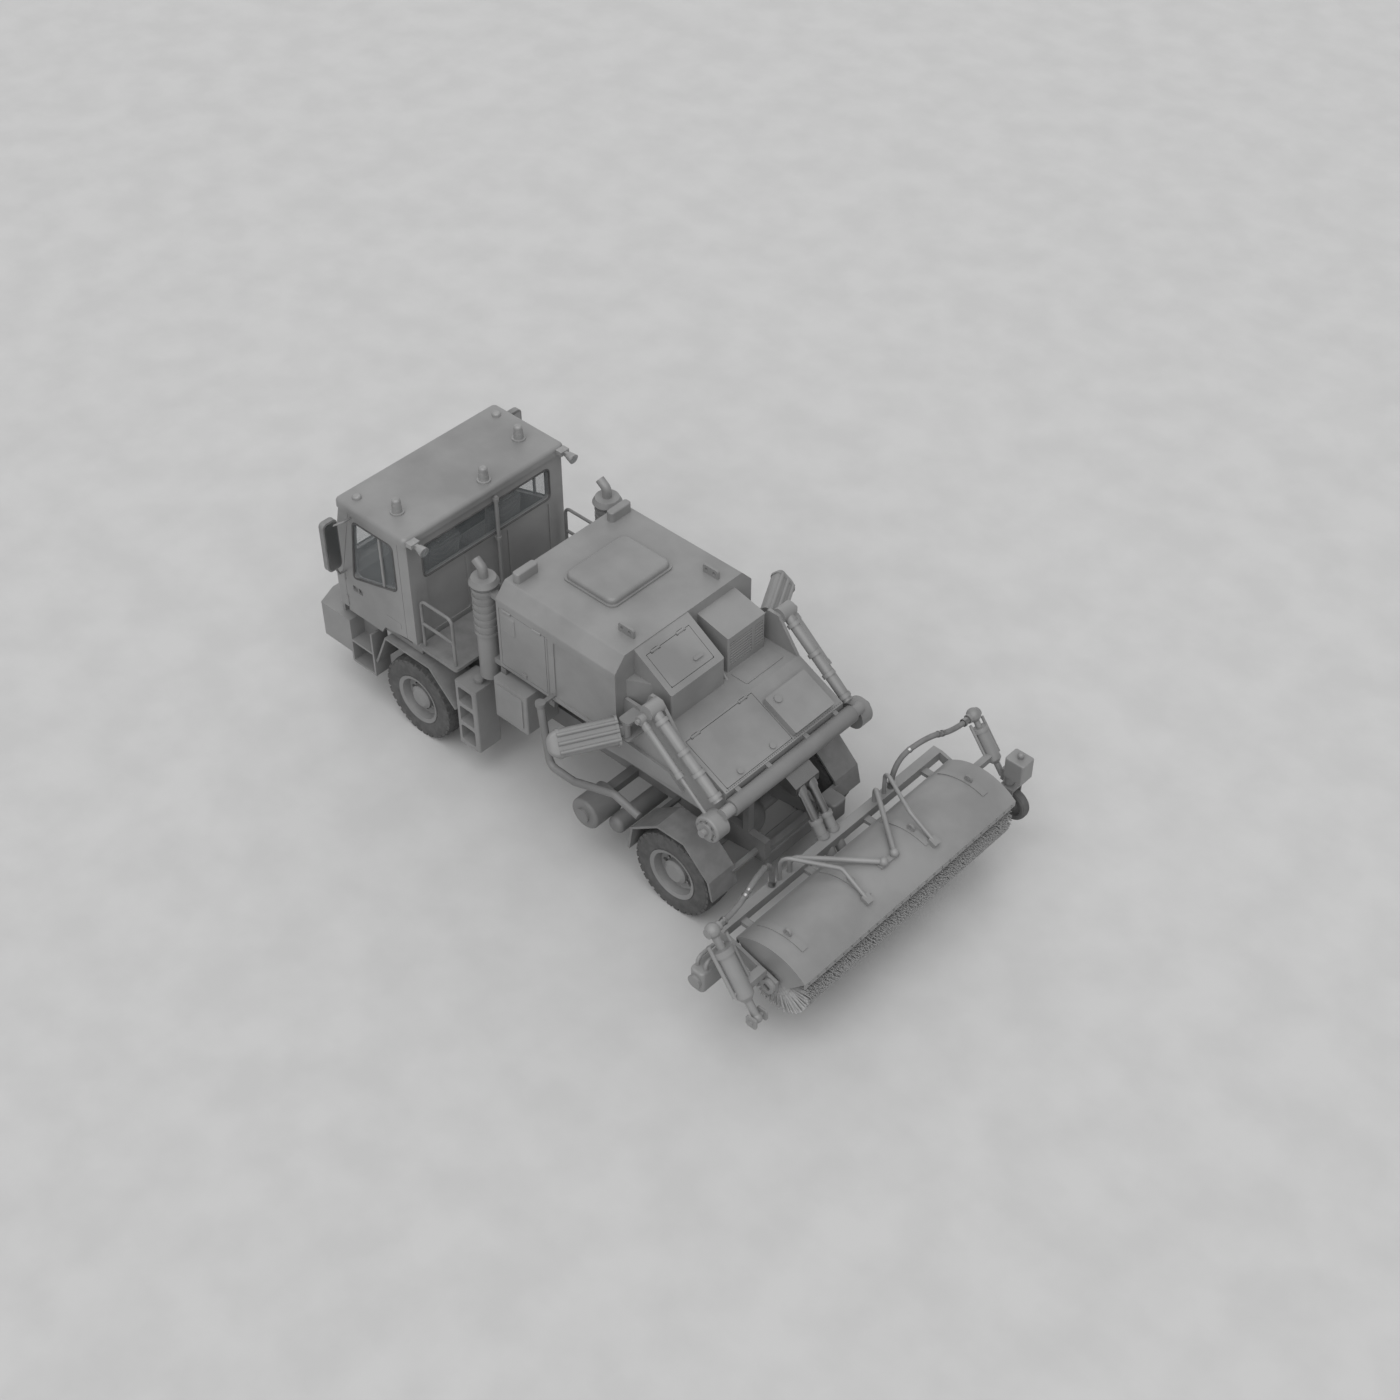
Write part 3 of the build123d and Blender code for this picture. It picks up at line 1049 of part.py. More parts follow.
def rear_deck():
    """Deck: level floor behind the hood, slope with hatch opening and raised square box, side plates."""
    body = side_prism([(HOOD_REAR, DECK_BOTTOM), (HOOD_REAR, DECK_Z), (DECK_BEND, DECK_Z),
                       (DECK_REAR, DECK_REAR_Z), (DECK_REAR, DECK_REAR_Z - DECK_TAIL_H),
                       (DECK_REAR + 130.0, DECK_BOTTOM)], -DECK_HALF, DECK_HALF)
    plane = deck_slope()
    gap = DOOR_GAP
    end = hatch_end()
    body -= slope_box(plane, (HATCH_START - gap, end + gap), (HATCH_RIGHT - gap, HATCH_LEFT + gap),
                      (-HATCH_T, HATCH_T))
    body -= slope_box(plane, (HATCH_START + LID_FRAME, end - LID_FRAME),
                      (HATCH_RIGHT + LID_FRAME, HATCH_LEFT - LID_FRAME), (-HATCH_DEPTH, 0))
    box = slope_box(plane, (0.26 * end, end), (RIGHT_BLOCK_OUT, HATCH_RIGHT - 3 * gap), (-HATCH_T, RAISED_H))
    body += fillet(box.edges().filter_by(Axis((0, 0, 0), plane.z_dir)), radius=BLOCK_CORNER)
    cap = plane * Pos(-0.26 * end - 2 * CAP_R, HATCH_RIGHT - 3 * CAP_R, RAISED_H)
    body += cap * Cylinder(CAP_R, CAP_R)
    panel = block((DECK_BEND + 2 * CAP_R, RIGHT_BLOCK_TAIL - CAP_R), (RIGHT_BLOCK_OUT, RIGHT_BLOCK_IN),
                  (DECK_Z, DECK_Z + PANEL_DEPTH))
    body += fillet(panel.edges().filter_by(Axis.Z), radius=BLOCK_CORNER)
    for side in SIDES:
        body += on_side(deck_side(), side)
    return hatch_hinge().fit_fixed(body)


CATCHES = 2


def deck_hatch():
    """Sloped hatch with two round catches at its lower edge."""
    plane = deck_slope()
    end = hatch_end()
    lid = slope_box(plane, (HATCH_START, end), (HATCH_RIGHT, HATCH_LEFT), (1 - HATCH_T, 0))
    lid = fillet(lid.edges().filter_by(Axis((0, 0, 0), plane.z_dir)).group_by(Axis.X)[0], radius=BLOCK_CORNER)
    width = HATCH_LEFT - HATCH_RIGHT
    for i in range(CATCHES):
        y = HATCH_RIGHT + width * (0.25 + 0.5 * i)
        lid += plane * Pos(1.4 * CAP_R - end, y, 0) * Cylinder(0.8 * CAP_R, CAP_R)
    return hatch_hinge().fit_moving(lid)


# Cross tube and side booms
BOOM_Y = DECK_HALF + 100.0
BOOM_R = 62.0
BOOM_TOP_X = 0.435 * HOOD_REAR
BOOM_TOP_Z = CHEEK_TOP - 35.0
DRUM_R = 165.0
DRUM_X = TUBE_X + 85.0
DRUM_Z = TUBE_Z - 170.0
DRUM_IN = BOOM_Y + 35.0
DRUM_OUT = DRUM_IN + 190.0
TUBE_HALF = BOOM_Y - BOOM_R - 8.0
RAM_R = 40.0
RAM_Y = BOOM_Y + 140.0
TOP_PIN_R = 30.0
GUSSET_Y = 0.32 * DECK_HALF
GUSSET_T = 60.0


def cross_tube():
    """Round tube across the deck's tail on four gussets."""
    tube = bar_y(TUBE_X, TUBE_Z, TUBE_R, -TUBE_HALF, TUBE_HALF)
    for y in (-2.6 * GUSSET_Y, -GUSSET_Y, GUSSET_Y, 2.6 * GUSSET_Y):
        gusset = [(TUBE_X, TUBE_Z + 0.7 * TUBE_R), (DECK_REAR, TUBE_Z + TUBE_R),
                  (DECK_REAR, TUBE_Z - 1.4 * TUBE_R), (TUBE_X, TUBE_Z - TUBE_R)]
        tube += side_prism(gusset, y - GUSSET_T / 2, y + GUSSET_T / 2)
    return tube


def ram(start, end, radius, share):
    """A hydraulic ram: barrel with end collars for a share of its length, then the thinner bright rod."""
    neck = between(start, end, share)
    shape = rod(start, neck, radius) + rod(neck, end, 0.55 * radius)
    for at in (0.06, share - 0.05):
        shape += rod(between(start, end, at), between(start, end, at + 0.05), 1.18 * radius)
    return shape


def side_boom():
    """Left boom: top spool, thick strut with collars, thin ram beside it, end drum with its motor."""
    top = (BOOM_TOP_X, BOOM_Y, BOOM_TOP_Z)
    low = (TUBE_X + 2 * BOOM_R, BOOM_Y, TUBE_Z + BOOM_R)
    boom = rod(top, low, BOOM_R)
    for share in (0.12, 0.45, 0.68, 0.93):
        boom += rod(between(top, low, share), between(top, low, share + 0.04), 1.28 * BOOM_R)
    boom += bar_y(top[0], top[2], 1.45 * BOOM_R, DECK_HALF, BOOM_Y + 1.6 * BOOM_R)
    pin_x = top[0] + TOP_PIN_R
    pin_z = top[2] - 1.3 * BOOM_R
    boom += bar_y(pin_x, pin_z, TOP_PIN_R, DECK_HALF, RAM_Y + 1.8 * RAM_R)
    boom += bar_y(pin_x, pin_z, 1.4 * RAM_R, RAM_Y - RAM_R, RAM_Y + RAM_R)
    drum_top = (DRUM_X + 0.4 * DRUM_R, RAM_Y, DRUM_Z + 0.6 * DRUM_R)
    boom += ram((pin_x, RAM_Y, pin_z), drum_top, RAM_R, 0.6)
    boom += bar_y(TUBE_X, TUBE_Z, 0.7 * TUBE_R, TUBE_HALF, DRUM_IN + RAM_R)
    drum = bar_y(DRUM_X, DRUM_Z, DRUM_R, DRUM_IN, DRUM_OUT)
    drum = fillet(drum.faces().sort_by(Axis.Y)[-1].edges(), radius=0.15 * DRUM_R)
    drum += bar_y(DRUM_X, DRUM_Z, 0.62 * DRUM_R, DRUM_OUT, DRUM_OUT + 0.18 * DRUM_R)
    drum += bar_y(DRUM_X, DRUM_Z, 0.28 * DRUM_R, DRUM_OUT + 0.18 * DRUM_R, DRUM_OUT + 0.5 * DRUM_R)
    return boom + drum


# Side air nozzles
NOZZLE_SWEEP = 61.0
NOZZLE_L = 640.0
NOZZLE_CHORD = 155.0
NOZZLE_THICK = 72.0
NOZZLE_CORNER = 50.0
NOZZLE_TILT = 50.0
NOSE_L = 110.0
# Ribs along the upper face: shares of the half width where each lies.
NOZZLE_RIBS = (-0.62, 0.0, 0.62)
NOZZLE_RIB_R = 24.0


def nozzle_shape(size):
    """Section of the air nozzle at a share of its full size: a rounded oblong."""
    return RectangleRounded(2 * size * NOZZLE_CHORD, 2 * size * NOZZLE_THICK, size * NOZZLE_CORNER)


def nozzle():
    """Left air nozzle: a ribbed flat beam swept forward and outward from its pivot, with a tapered nose."""
    turn = math.radians(NOZZLE_SWEEP)
    heading = Plane(origin=(NOZZLE_X, NOZZLE_Y, NOZZLE_Z), x_dir=(math.cos(turn), math.sin(turn), 0),
                    z_dir=(0, 0, 1))

    def section(distance):
        across = Plane(origin=(distance, 0, 0), x_dir=(0, 1, 0), z_dir=(1, 0, 0))
        return heading * across * Rot(0, 0, -NOZZLE_TILT)

    start = 1.8 * NOZZLE_EYE_R
    beam = extrude(section(start) * nozzle_shape(1.0), amount=NOZZLE_L)
    beam += extrude(section(start) * nozzle_shape(1.12), amount=NOZZLE_LUG_T)
    beam += extrude(section(start + NOZZLE_L) * nozzle_shape(1.06), amount=NOZZLE_LUG_T)
    end = start + NOZZLE_L + NOZZLE_LUG_T
    nose = [section(end + share * NOSE_L) * nozzle_shape(size)
            for share, size in ((0, 1.0), (0.6, 0.8), (1, 0.35))]
    beam += loft(nose)
    for share in NOZZLE_RIBS:
        rib = section(start) * Pos(share * NOZZLE_CHORD, NOZZLE_THICK, 0) * Circle(NOZZLE_RIB_R)
        beam += extrude(rib, amount=NOZZLE_L + NOZZLE_LUG_T)
    beam += heading * Pos(start / 2, 0, 0) * Box(start, 1.2 * NOZZLE_EYE_R, 1.2 * NOZZLE_EYE_HALF)
    beam += bar_z(NOZZLE_X, NOZZLE_Y, NOZZLE_EYE_R, NOZZLE_Z - NOZZLE_EYE_HALF, NOZZLE_Z + NOZZLE_EYE_HALF)
    return beam - bar_z(NOZZLE_X, NOZZLE_Y, NOZZLE_PIN_R + PIN_GAP, 0, 2 * NOZZLE_Z)


# Capped suction pipe along each side
HOSE_R = 46.0
HOSE_Y = HOOD_HALF + 205.0
HOSE_TOP_X = HOOD_SEAM - 40.0
HOSE_RUN = 372.1


def side_pipe():
    """Left capped pipe: down from its bracket on the hood, then back above the wheel."""
    low = SIDE_BOX_LOW + HOSE_R
    points = [(HOSE_TOP_X, HOSE_Y, HOOD_BOTTOM + 2 * HOSE_R),
              (HOSE_TOP_X - 5 * HOSE_R, HOSE_Y + 2.5 * HOSE_R, low),
              (HOSE_TOP_X - 5 * HOSE_R - HOSE_RUN, HOSE_Y + 2.5 * HOSE_R, low),
              (HOOD_REAR - 4 * HOSE_R, HOSE_Y + HOSE_R, low + 3 * HOSE_R),
              (0.4 * HOOD_REAR, HOSE_Y + HOSE_R, low + HOSE_R)]
    hose = pipe(points, HOSE_R, 2.6 * HOSE_R)
    top = points[0]
    hose += bar_z(top[0], top[1], 1.3 * HOSE_R, top[2], top[2] + HOSE_R)
    x = (top[0] - 0.6 * HOSE_R, top[0] + 0.6 * HOSE_R)
    return hose + block(x, (HOOD_HALF, top[1]), (top[2], top[2] + 0.5 * HOSE_R))


# Broom lift
LEAN = math.radians(GUIDE_LEAN)
GUIDE_DIR = Vector(-math.sin(LEAN), 0, -math.cos(LEAN))
HEAD_HALF = GUIDE_Y + 110.0


def on_guide(distance, y):
    """Point on a guide's axis at a distance down from its head."""
    return (GUIDE_X + GUIDE_DIR.X * distance, y, GUIDE_Z + GUIDE_DIR.Z * distance)


def lift_guides():
    """Twin bright guide rods hung from a head clamped under the cross tube."""
    head = side_prism([(TUBE_X, TUBE_Z - 0.5 * TUBE_R), (TUBE_X, GUIDE_Z - GUIDE_R),
                       (GUIDE_X - GUIDE_R, GUIDE_Z - GUIDE_R), (GUIDE_X - GUIDE_R, GUIDE_Z + GUIDE_R)],
                      -HEAD_HALF, HEAD_HALF)
    head -= bar_y(TUBE_X, TUBE_Z, TUBE_R, -2 * HEAD_HALF, 2 * HEAD_HALF)
    for y in (-GUIDE_Y, GUIDE_Y):
        head += rod(on_guide(0, y), on_guide(GUIDE_SHOWN + SLEEVE_L - GUIDE_R, y), GUIDE_R)
        head += rod(on_guide(0, y), on_guide(2 * GUIDE_R, y), 1.3 * GUIDE_R)
    return head


# Broom
CYLINDER_R = 100.0
CYLINDER_TOP_X = BEAM_X - 209.0
CYLINDER_TOP_Z = BEAM_Z + 483.0
CYLINDER_LOW_X = BRUSH_X - 120.0
CYLINDER_LOW_Z = BRUSH_Z - 140.0
SWIVEL_X = BRUSH_X - 70.0
SWIVEL_R = 30.0
CASTER_TRAIL = 80.0
CASTER_R = 210.0
CASTER_W = 120.0
CASTER_Z = BRUSH_Z - 220.0
FORK_TOP = CASTER_Z + CASTER_R + 60.0
FORK_T = 15.0
FORK_HALF = CASTER_W / 2 + 30.0
SOCKET_H = 170.0
BOX_H = 270.0


def end_arm():
    """Left arm from the beam's end to the bearing of the brush shaft."""
    half = BEAM_S / 2
    bearing = 2 * SHAFT_R
    arm = side_prism([(BEAM_X - half, BEAM_Z - half), (BEAM_X - half, BEAM_Z + half),
                      (BRUSH_X - bearing, BRUSH_Z + bearing), (BRUSH_X - bearing, BRUSH_Z - bearing),
                      (BRUSH_X + bearing / 2, BRUSH_Z - bearing)], ARM_IN, ARM_OUT)
    arm += bar_y(BRUSH_X, BRUSH_Z, bearing, ARM_OUT, ARM_OUT + SHAFT_R)
    arm -= bar_y(BRUSH_X, BRUSH_Z, SHAFT_R + PIN_GAP, 0, 2 * ARM_OUT)
    top = (CYLINDER_TOP_X, END_Y, CYLINDER_TOP_Z)
    arm += bar_y(top[0], top[2], 0.55 * CYLINDER_R, END_Y - CYLINDER_R, END_Y + 0.8 * CYLINDER_R)
    arm += Pos(*top) * Sphere(0.85 * CYLINDER_R)
    return arm


def cylinder(radius, low, share):
    """Inclined cylinder of a broom end: rod eye at the top, collar, barrel, rounded foot."""
    top = (CYLINDER_TOP_X, END_Y, CYLINDER_TOP_Z)
    shape = rod(top, low, 0.45 * radius)
    shape += rod(between(top, low, 0.2), between(top, low, share), radius)
    shape += rod(between(top, low, 0.2), between(top, low, 0.27), 1.18 * radius)
    shape += rod(between(top, low, share), between(top, low, share + 0.05), radius, 0.6 * radius)
    for offset in (-1.35, 1.3):
        pipe_low = between(top, low, share - 0.05)
        pipe_top = between(top, low, 0.1)
        shape += rod((pipe_top[0], END_Y + offset * radius, pipe_top[2]),
                     (pipe_low[0], END_Y + offset * radius, pipe_low[2]), 0.22 * radius)
        for at in (0.24, share - 0.08):
            clamp = between(top, low, at)
            ends = sorted((END_Y, END_Y + offset * radius))
            shape += bar_y(clamp[0], clamp[2], 0.2 * radius, *ends)
    at = between(top, low, share - 0.08)
    shape += block((at[0] - radius / 2, at[0] + radius / 2), (ARM_OUT, END_Y),
                   (at[2] - radius / 2, at[2] + radius / 2))
    return shape


def left_end():
    """Left end: big cylinder with clevis and cross pin, and the cast brush gearbox with its drive pipes."""
    low = (CYLINDER_LOW_X, END_Y, CYLINDER_LOW_Z)
    end = end_arm() + cylinder(CYLINDER_R, low, 0.74)
    end += bar_y(low[0], low[2], 0.3 * CYLINDER_R, END_Y - 1.1 * CYLINDER_R, END_Y + 1.1 * CYLINDER_R)
    end += Pos(*low) * Sphere(0.6 * CYLINDER_R)
    for y in (END_Y - 0.95 * CYLINDER_R, END_Y + 0.7 * CYLINDER_R):
        lug = oblong((low[0] - 0.7 * CYLINDER_R, low[2] - 0.7 * CYLINDER_R),
                     (low[0] + 0.7 * CYLINDER_R, low[2] + 0.7 * CYLINDER_R))
        end += side_prism(lug, y, y + 0.25 * CYLINDER_R, 0.3 * CYLINDER_R)
    half = CYLINDER_R
    gear = soft_block((BEAM_X - 2.5 * half, BEAM_X - 0.6 * half), (END_Y - 1.5 * half, END_Y + 1.9 * half),
                      (BEAM_Z - 3.1 * half, BEAM_Z - 0.4 * half), 0.5 * half)
    gear += block((BEAM_X - 2 * half, BEAM_X - half), (ARM_OUT, END_Y - half),
                  (BEAM_Z - 1.2 * half, BEAM_Z - 0.5 * half))
    gear += bar_y(BEAM_X - 1.5 * half, BEAM_Z - 1.8 * half, 0.8 * half, END_Y + 1.9 * half,
                  END_Y + 2.2 * half)
    for dx in (-2.1, -1.0):
        x = BEAM_X + dx * half
        gear += pipe([(x, END_Y + half, BEAM_Z - 0.5 * half), (x, END_Y + half, BEAM_Z + 0.6 * half),
                      (x, END_Y - 1.4 * half, BEAM_Z + 0.6 * half)], 0.22 * half, 0.6 * half)
    return end + gear


def right_end():
    """Right end, built on the left: slimmer cylinder, caster socket and the box with a knob on it."""
    low = (SWIVEL_X + CYLINDER_R, END_Y, FORK_TOP + BEAM_S / 2)
    end = end_arm() + cylinder(0.8 * CYLINDER_R, low, 0.74)
    socket = FORK_TOP + 10.0
    end += bar_z(SWIVEL_X, END_Y, 2.2 * SWIVEL_R, socket, socket + SOCKET_H)
    end += block((SWIVEL_X, low[0]), (END_Y - SWIVEL_R, END_Y + SWIVEL_R), (socket, socket + SOCKET_H))
    box_z = socket + SOCKET_H
    box = soft_block((SWIVEL_X - 0.85 * BOX_H, SWIVEL_X + SWIVEL_R),
                     (END_Y - 0.4 * BOX_H, END_Y + 0.4 * BOX_H), (box_z, box_z + BOX_H), SWIVEL_R)
    end += box + bar_z(SWIVEL_X - 0.4 * BOX_H, END_Y, SWIVEL_R, box_z + BOX_H, box_z + BOX_H + SWIVEL_R)
    end += Pos(SWIVEL_X - 0.4 * BOX_H, END_Y, box_z + BOX_H + 1.4 * SWIVEL_R) * Sphere(1.3 * SWIVEL_R)
    return end - bar_z(SWIVEL_X, END_Y, SWIVEL_R + PIN_GAP, 0, box_z - 10.0)


def broom_frame():
    """Beam with the sliding sleeves of the lift and the two end units."""
    half = BEAM_S / 2
    frame = block((BEAM_X - half, BEAM_X + half), (-ARM_OUT, ARM_OUT), (BEAM_Z - half, BEAM_Z + half))
    for y in (-GUIDE_Y, GUIDE_Y):
        frame += rod(on_guide(GUIDE_SHOWN, y), on_guide(GUIDE_SHOWN + SLEEVE_L, y), SLEEVE_R)
        for start in (0, 0.3 * SLEEVE_L):
            frame += rod(on_guide(GUIDE_SHOWN + start, y), on_guide(GUIDE_SHOWN + start + GUIDE_R, y),
                         1.22 * SLEEVE_R)
    for y in (-GUIDE_Y, GUIDE_Y):
        frame -= rod(on_guide(GUIDE_SHOWN - GUIDE_R, y),
                     on_guide(GUIDE_SHOWN + SLEEVE_L - 0.7 * GUIDE_R, y), GUIDE_R + PIN_GAP)
    return frame + left_end() + mirrored(right_end())


COWL_FRONT = 49.0
COWL_TAIL = 132.0
COWL_LOW = BRUSH_Z + 120.0
STRAPS = 4
STRAP_W = 90.0
A_TUBE_R = 30.0
HOOK_R = 24.0
HOOK_FOOT_Y = 870.0
HOOK_SEAT_Y = 560.0
HOOK_RISE = 190.0
HOOK_ANGLE = 112.0


def cowl_point(radius, degrees):
    """Side-view point (x, z) on an arc round the cowl's axis."""
    turn = math.radians(degrees)
    return (COWL_X + radius * math.cos(turn), COWL_Z + radius * math.sin(turn))


def cowl_strip(inner, outer, front, tail, y0, y1):
    """A curved plate round the cowl's axis between two radii and two angles."""
    angles = (front, (front + tail) / 2, tail)
    top = [(x, y0, z) for x, z in (cowl_point(outer, a) for a in angles)]
    low = [(x, y0, z) for x, z in (cowl_point(inner, a) for a in angles)]
    edges = [ThreePointArc(*top), Line(top[-1], low[-1]), ThreePointArc(*low), Line(low[0], top[0])]
    return extrude(make_face(edges), amount=y1 - y0, dir=(0, 1, 0))


def broom_hood():
    """Curved cowl over the brush: end plates, edge strips, lifting straps, A-shaped stays, hooked pipes."""
    shell = cowl_strip(COWL_R - COWL_T, COWL_R, COWL_FRONT, COWL_TAIL, -COWL_HALF, COWL_HALF)
    plate = cowl_strip(COWL_LOW - COWL_Z, COWL_R - COWL_T, COWL_FRONT, COWL_TAIL, COWL_HALF - COWL_T,
                       COWL_HALF)
    plate -= bar_y(BRUSH_X, BRUSH_Z, BRUSH_CORE_R + 30.0, -2 * COWL_HALF, 2 * COWL_HALF)
    shell += plate + mirrored(plate)
    rear_x, rear_z = cowl_point(COWL_R, COWL_TAIL)
    front_x, front_z = cowl_point(COWL_R, COWL_FRONT)
    shell += block((rear_x - COWL_T / 3, rear_x + 0.7 * COWL_T), (-COWL_HALF, COWL_HALF),
                   (rear_z - 6 * COWL_T, rear_z))
    shell += block((front_x - 0.7 * COWL_T, front_x + COWL_T / 3), (-COWL_HALF, COWL_HALF),
                   (front_z - 9 * COWL_T, front_z))
    beam_x = BEAM_X - BEAM_S / 2
    pitch = 1.7 * COWL_HALF / (STRAPS - 1)
    for i in range(STRAPS):
        y = -0.85 * COWL_HALF + i * pitch
        shell += block((front_x, beam_x), (y - STRAP_W / 2, y + STRAP_W / 2),
                       (front_z - 8 * COWL_T, front_z - 4 * COWL_T))
        shell += cowl_strip(COWL_R, COWL_R + COWL_T, COWL_FRONT + 8, COWL_TAIL - 22, y - STRAP_W / 2,
                            y + STRAP_W / 2)
        eye_x, eye_z = cowl_point(COWL_R + 3 * COWL_T, 90.0)
        eye = bar_y(eye_x, eye_z, 4 * COWL_T, y - COWL_T, y + COWL_T)
        shell += eye - bar_y(eye_x, eye_z + COWL_T, 2 * COWL_T, y - STRAP_W, y + STRAP_W)
    crown_x, crown_z = cowl_point(COWL_R + 2 * A_TUBE_R, 98.0)
    for side in SIDES.values():
        foot = side * 0.4 * COWL_HALF
        head = side * 3 * A_TUBE_R
        points = [(beam_x + BEAM_S / 2, foot, BEAM_Z + BEAM_S / 2), (beam_x + BEAM_S / 2, foot, crown_z),
                  (crown_x, head, crown_z)]
        shell += pipe(points, A_TUBE_R, 3 * A_TUBE_R)
        shell += Pos(crown_x, head, crown_z) * Sphere(1.7 * A_TUBE_R)
        seat_y = side * HOOK_SEAT_Y
        hook_x, hook_z = cowl_point(COWL_R + HOOK_RISE, 85.0)
        tip_x, tip_z = cowl_point(COWL_R + 1.5 * HOOK_R, HOOK_ANGLE)
        points = [(BEAM_X, side * HOOK_FOOT_Y, BEAM_Z + BEAM_S / 2), (BEAM_X, side * HOOK_FOOT_Y, hook_z),
                  (hook_x, seat_y, hook_z), (tip_x, seat_y, tip_z)]
        shell += pipe(points, HOOK_R, 5 * HOOK_R)
        shell += cowl_strip(COWL_R - COWL_T / 2, COWL_R + 2.5 * HOOK_R, HOOK_ANGLE - 4, HOOK_ANGLE + 4,
                            seat_y - 2 * HOOK_R, seat_y + 2 * HOOK_R)
    shell += block((crown_x - A_TUBE_R, crown_x + A_TUBE_R), (-5 * A_TUBE_R, 5 * A_TUBE_R),
                   (crown_z - 2.4 * A_TUBE_R, crown_z - A_TUBE_R))
    return shell


LOOP_R = 32.0


def broom_hoses():
    """Hose loop from each end's cross shaft over to a seat on the beam."""
    start = END_Y - CYLINDER_R
    end = 0.56 * COWL_HALF
    loop = pipe([(CYLINDER_TOP_X, start, CYLINDER_TOP_Z),
                 (CYLINDER_TOP_X, start - 8 * LOOP_R, CYLINDER_TOP_Z),
                 (CYLINDER_TOP_X + 2 * LOOP_R, start - 20 * LOOP_R, CYLINDER_TOP_Z + 5 * LOOP_R),
                 (BEAM_X, end, CYLINDER_TOP_Z - LOOP_R), (BEAM_X, end, BEAM_Z + BEAM_S / 2)], LOOP_R,
                4 * LOOP_R)
    return both(loop)


TUFTS = 30
WAFERS = 10
TUFT_TIP = 24.0
TUFT_ROOT = 10.0


def broom_brush():
    """Roller brush: rows of tufts that fan out from the core and wander from wafer to wafer."""
    pitch = 2 * BRUSH_HALF / WAFERS
    wafers = []
    for wafer in range(WAFERS):
        shift = (math.pi / TUFTS) * math.sin(2 * math.pi * wafer / 5)
        points = []
        for i in range(TUFTS):
            turn = 2 * math.pi * i / TUFTS + shift
            for radius, offset in ((BRUSH_CORE_R, -TUFT_ROOT), (BRUSH_R, -TUFT_TIP), (BRUSH_R, TUFT_TIP),
                                   (BRUSH_CORE_R, TUFT_ROOT)):
                swing = turn + offset / radius
                points.append((BRUSH_X + radius * math.cos(swing), BRUSH_Z + radius * math.sin(swing)))
        low = -BRUSH_HALF + wafer * pitch
        bore = bar_y(BRUSH_X, BRUSH_Z, SHAFT_R, low - pitch, low + 2 * pitch)
        wafers.append(side_prism(points, low, low + pitch) - bore)
    return group(wafers)


def brush_shaft():
    return bar_y(BRUSH_X, BRUSH_Z, SHAFT_R, -ARM_OUT - SHAFT_R / 2, ARM_OUT + SHAFT_R / 2)


def caster_fork():
    """Fork of the caster at the broom's end, drawn on the left."""
    wheel_x = SWIVEL_X - CASTER_TRAIL
    top_x = (SWIVEL_X - 1.5 * CASTER_TRAIL, SWIVEL_X + 2 * SWIVEL_R)
    fork = bar_z(SWIVEL_X, END_Y, SWIVEL_R, FORK_TOP - FORK_T, FORK_TOP + 0.9 * SOCKET_H)
    fork += block(top_x, (END_Y - FORK_HALF, END_Y + FORK_HALF), (FORK_TOP - 2 * FORK_T, FORK_TOP))
    for y in (END_Y - FORK_HALF, END_Y + FORK_HALF - FORK_T):
        cheek = [(top_x[0], FORK_TOP - 2 * FORK_T), (top_x[1], FORK_TOP - 2 * FORK_T),
                 (wheel_x + SWIVEL_R, CASTER_Z - SWIVEL_R), (wheel_x - SWIVEL_R, CASTER_Z - SWIVEL_R)]
        fork += side_prism(cheek, y, y + FORK_T)
    return fork + bar_y(wheel_x, CASTER_Z, 0.67 * SWIVEL_R, END_Y - FORK_HALF - FORK_T,
                        END_Y + FORK_HALF + FORK_T)


def caster_wheel():
    """Solid-tyred caster wheel with rounded shoulders and dished hub."""
    wheel_x = SWIVEL_X - CASTER_TRAIL
    half = CASTER_W / 2
    bore = 0.67 * SWIVEL_R + PIN_GAP
    # Half profile: radius, distance out from the wheel's middle.
    rows = [(bore, 0.9 * half), (0.3 * CASTER_R, 0.9 * half), (0.42 * CASTER_R, 0.4 * half),
            (0.62 * CASTER_R, 0.4 * half), (0.7 * CASTER_R, 0.95 * half), (0.85 * CASTER_R, half),
            (0.97 * CASTER_R, 0.75 * half), (CASTER_R, 0.4 * half)]
    profile = [(radius, -out) for radius, out in rows] + rows[::-1]
    face = make_face(Polyline(*[(wheel_x, END_Y + out, CASTER_Z + radius) for radius, out in profile],
                              close=True))
    return revolve(face, axis=Axis((wheel_x, 0, CASTER_Z), (0, 1, 0)))


# Roof lamps, mirrors and underbody units
BEACON_R = 62.0
BEACON_H = 190.0
BEACON_X = CAB_REAR + 424.0
BEACON_Y = CAB_HALF - 265.0
POLE_BEACON_X = CAB_REAR + 139.0
POLE_BEACON_IN = 120.0
DOME_X = SCREEN_TOP_X - 195.0
DOME_Y = CAB_HALF - 125.0
WORK_LAMP_R = 65.0
WORK_LAMP_OUT = 190.0


def beacon(x, y):
    """Flashing beacon: base flange and a domed lens."""
    top = WALL_TOP + ROOF_T
    base = bar_z(x, y, 1.35 * BEACON_R, top, top + 0.1 * BEACON_H)
    lens = Pos(x, y, top + 0.55 * BEACON_H) * Cone(BEACON_R, 0.8 * BEACON_R, 0.9 * BEACON_H)
    lens = fillet(lens.faces().sort_by(Axis.Z)[-1].edges(), radius=0.5 * BEACON_R)
    return base + lens


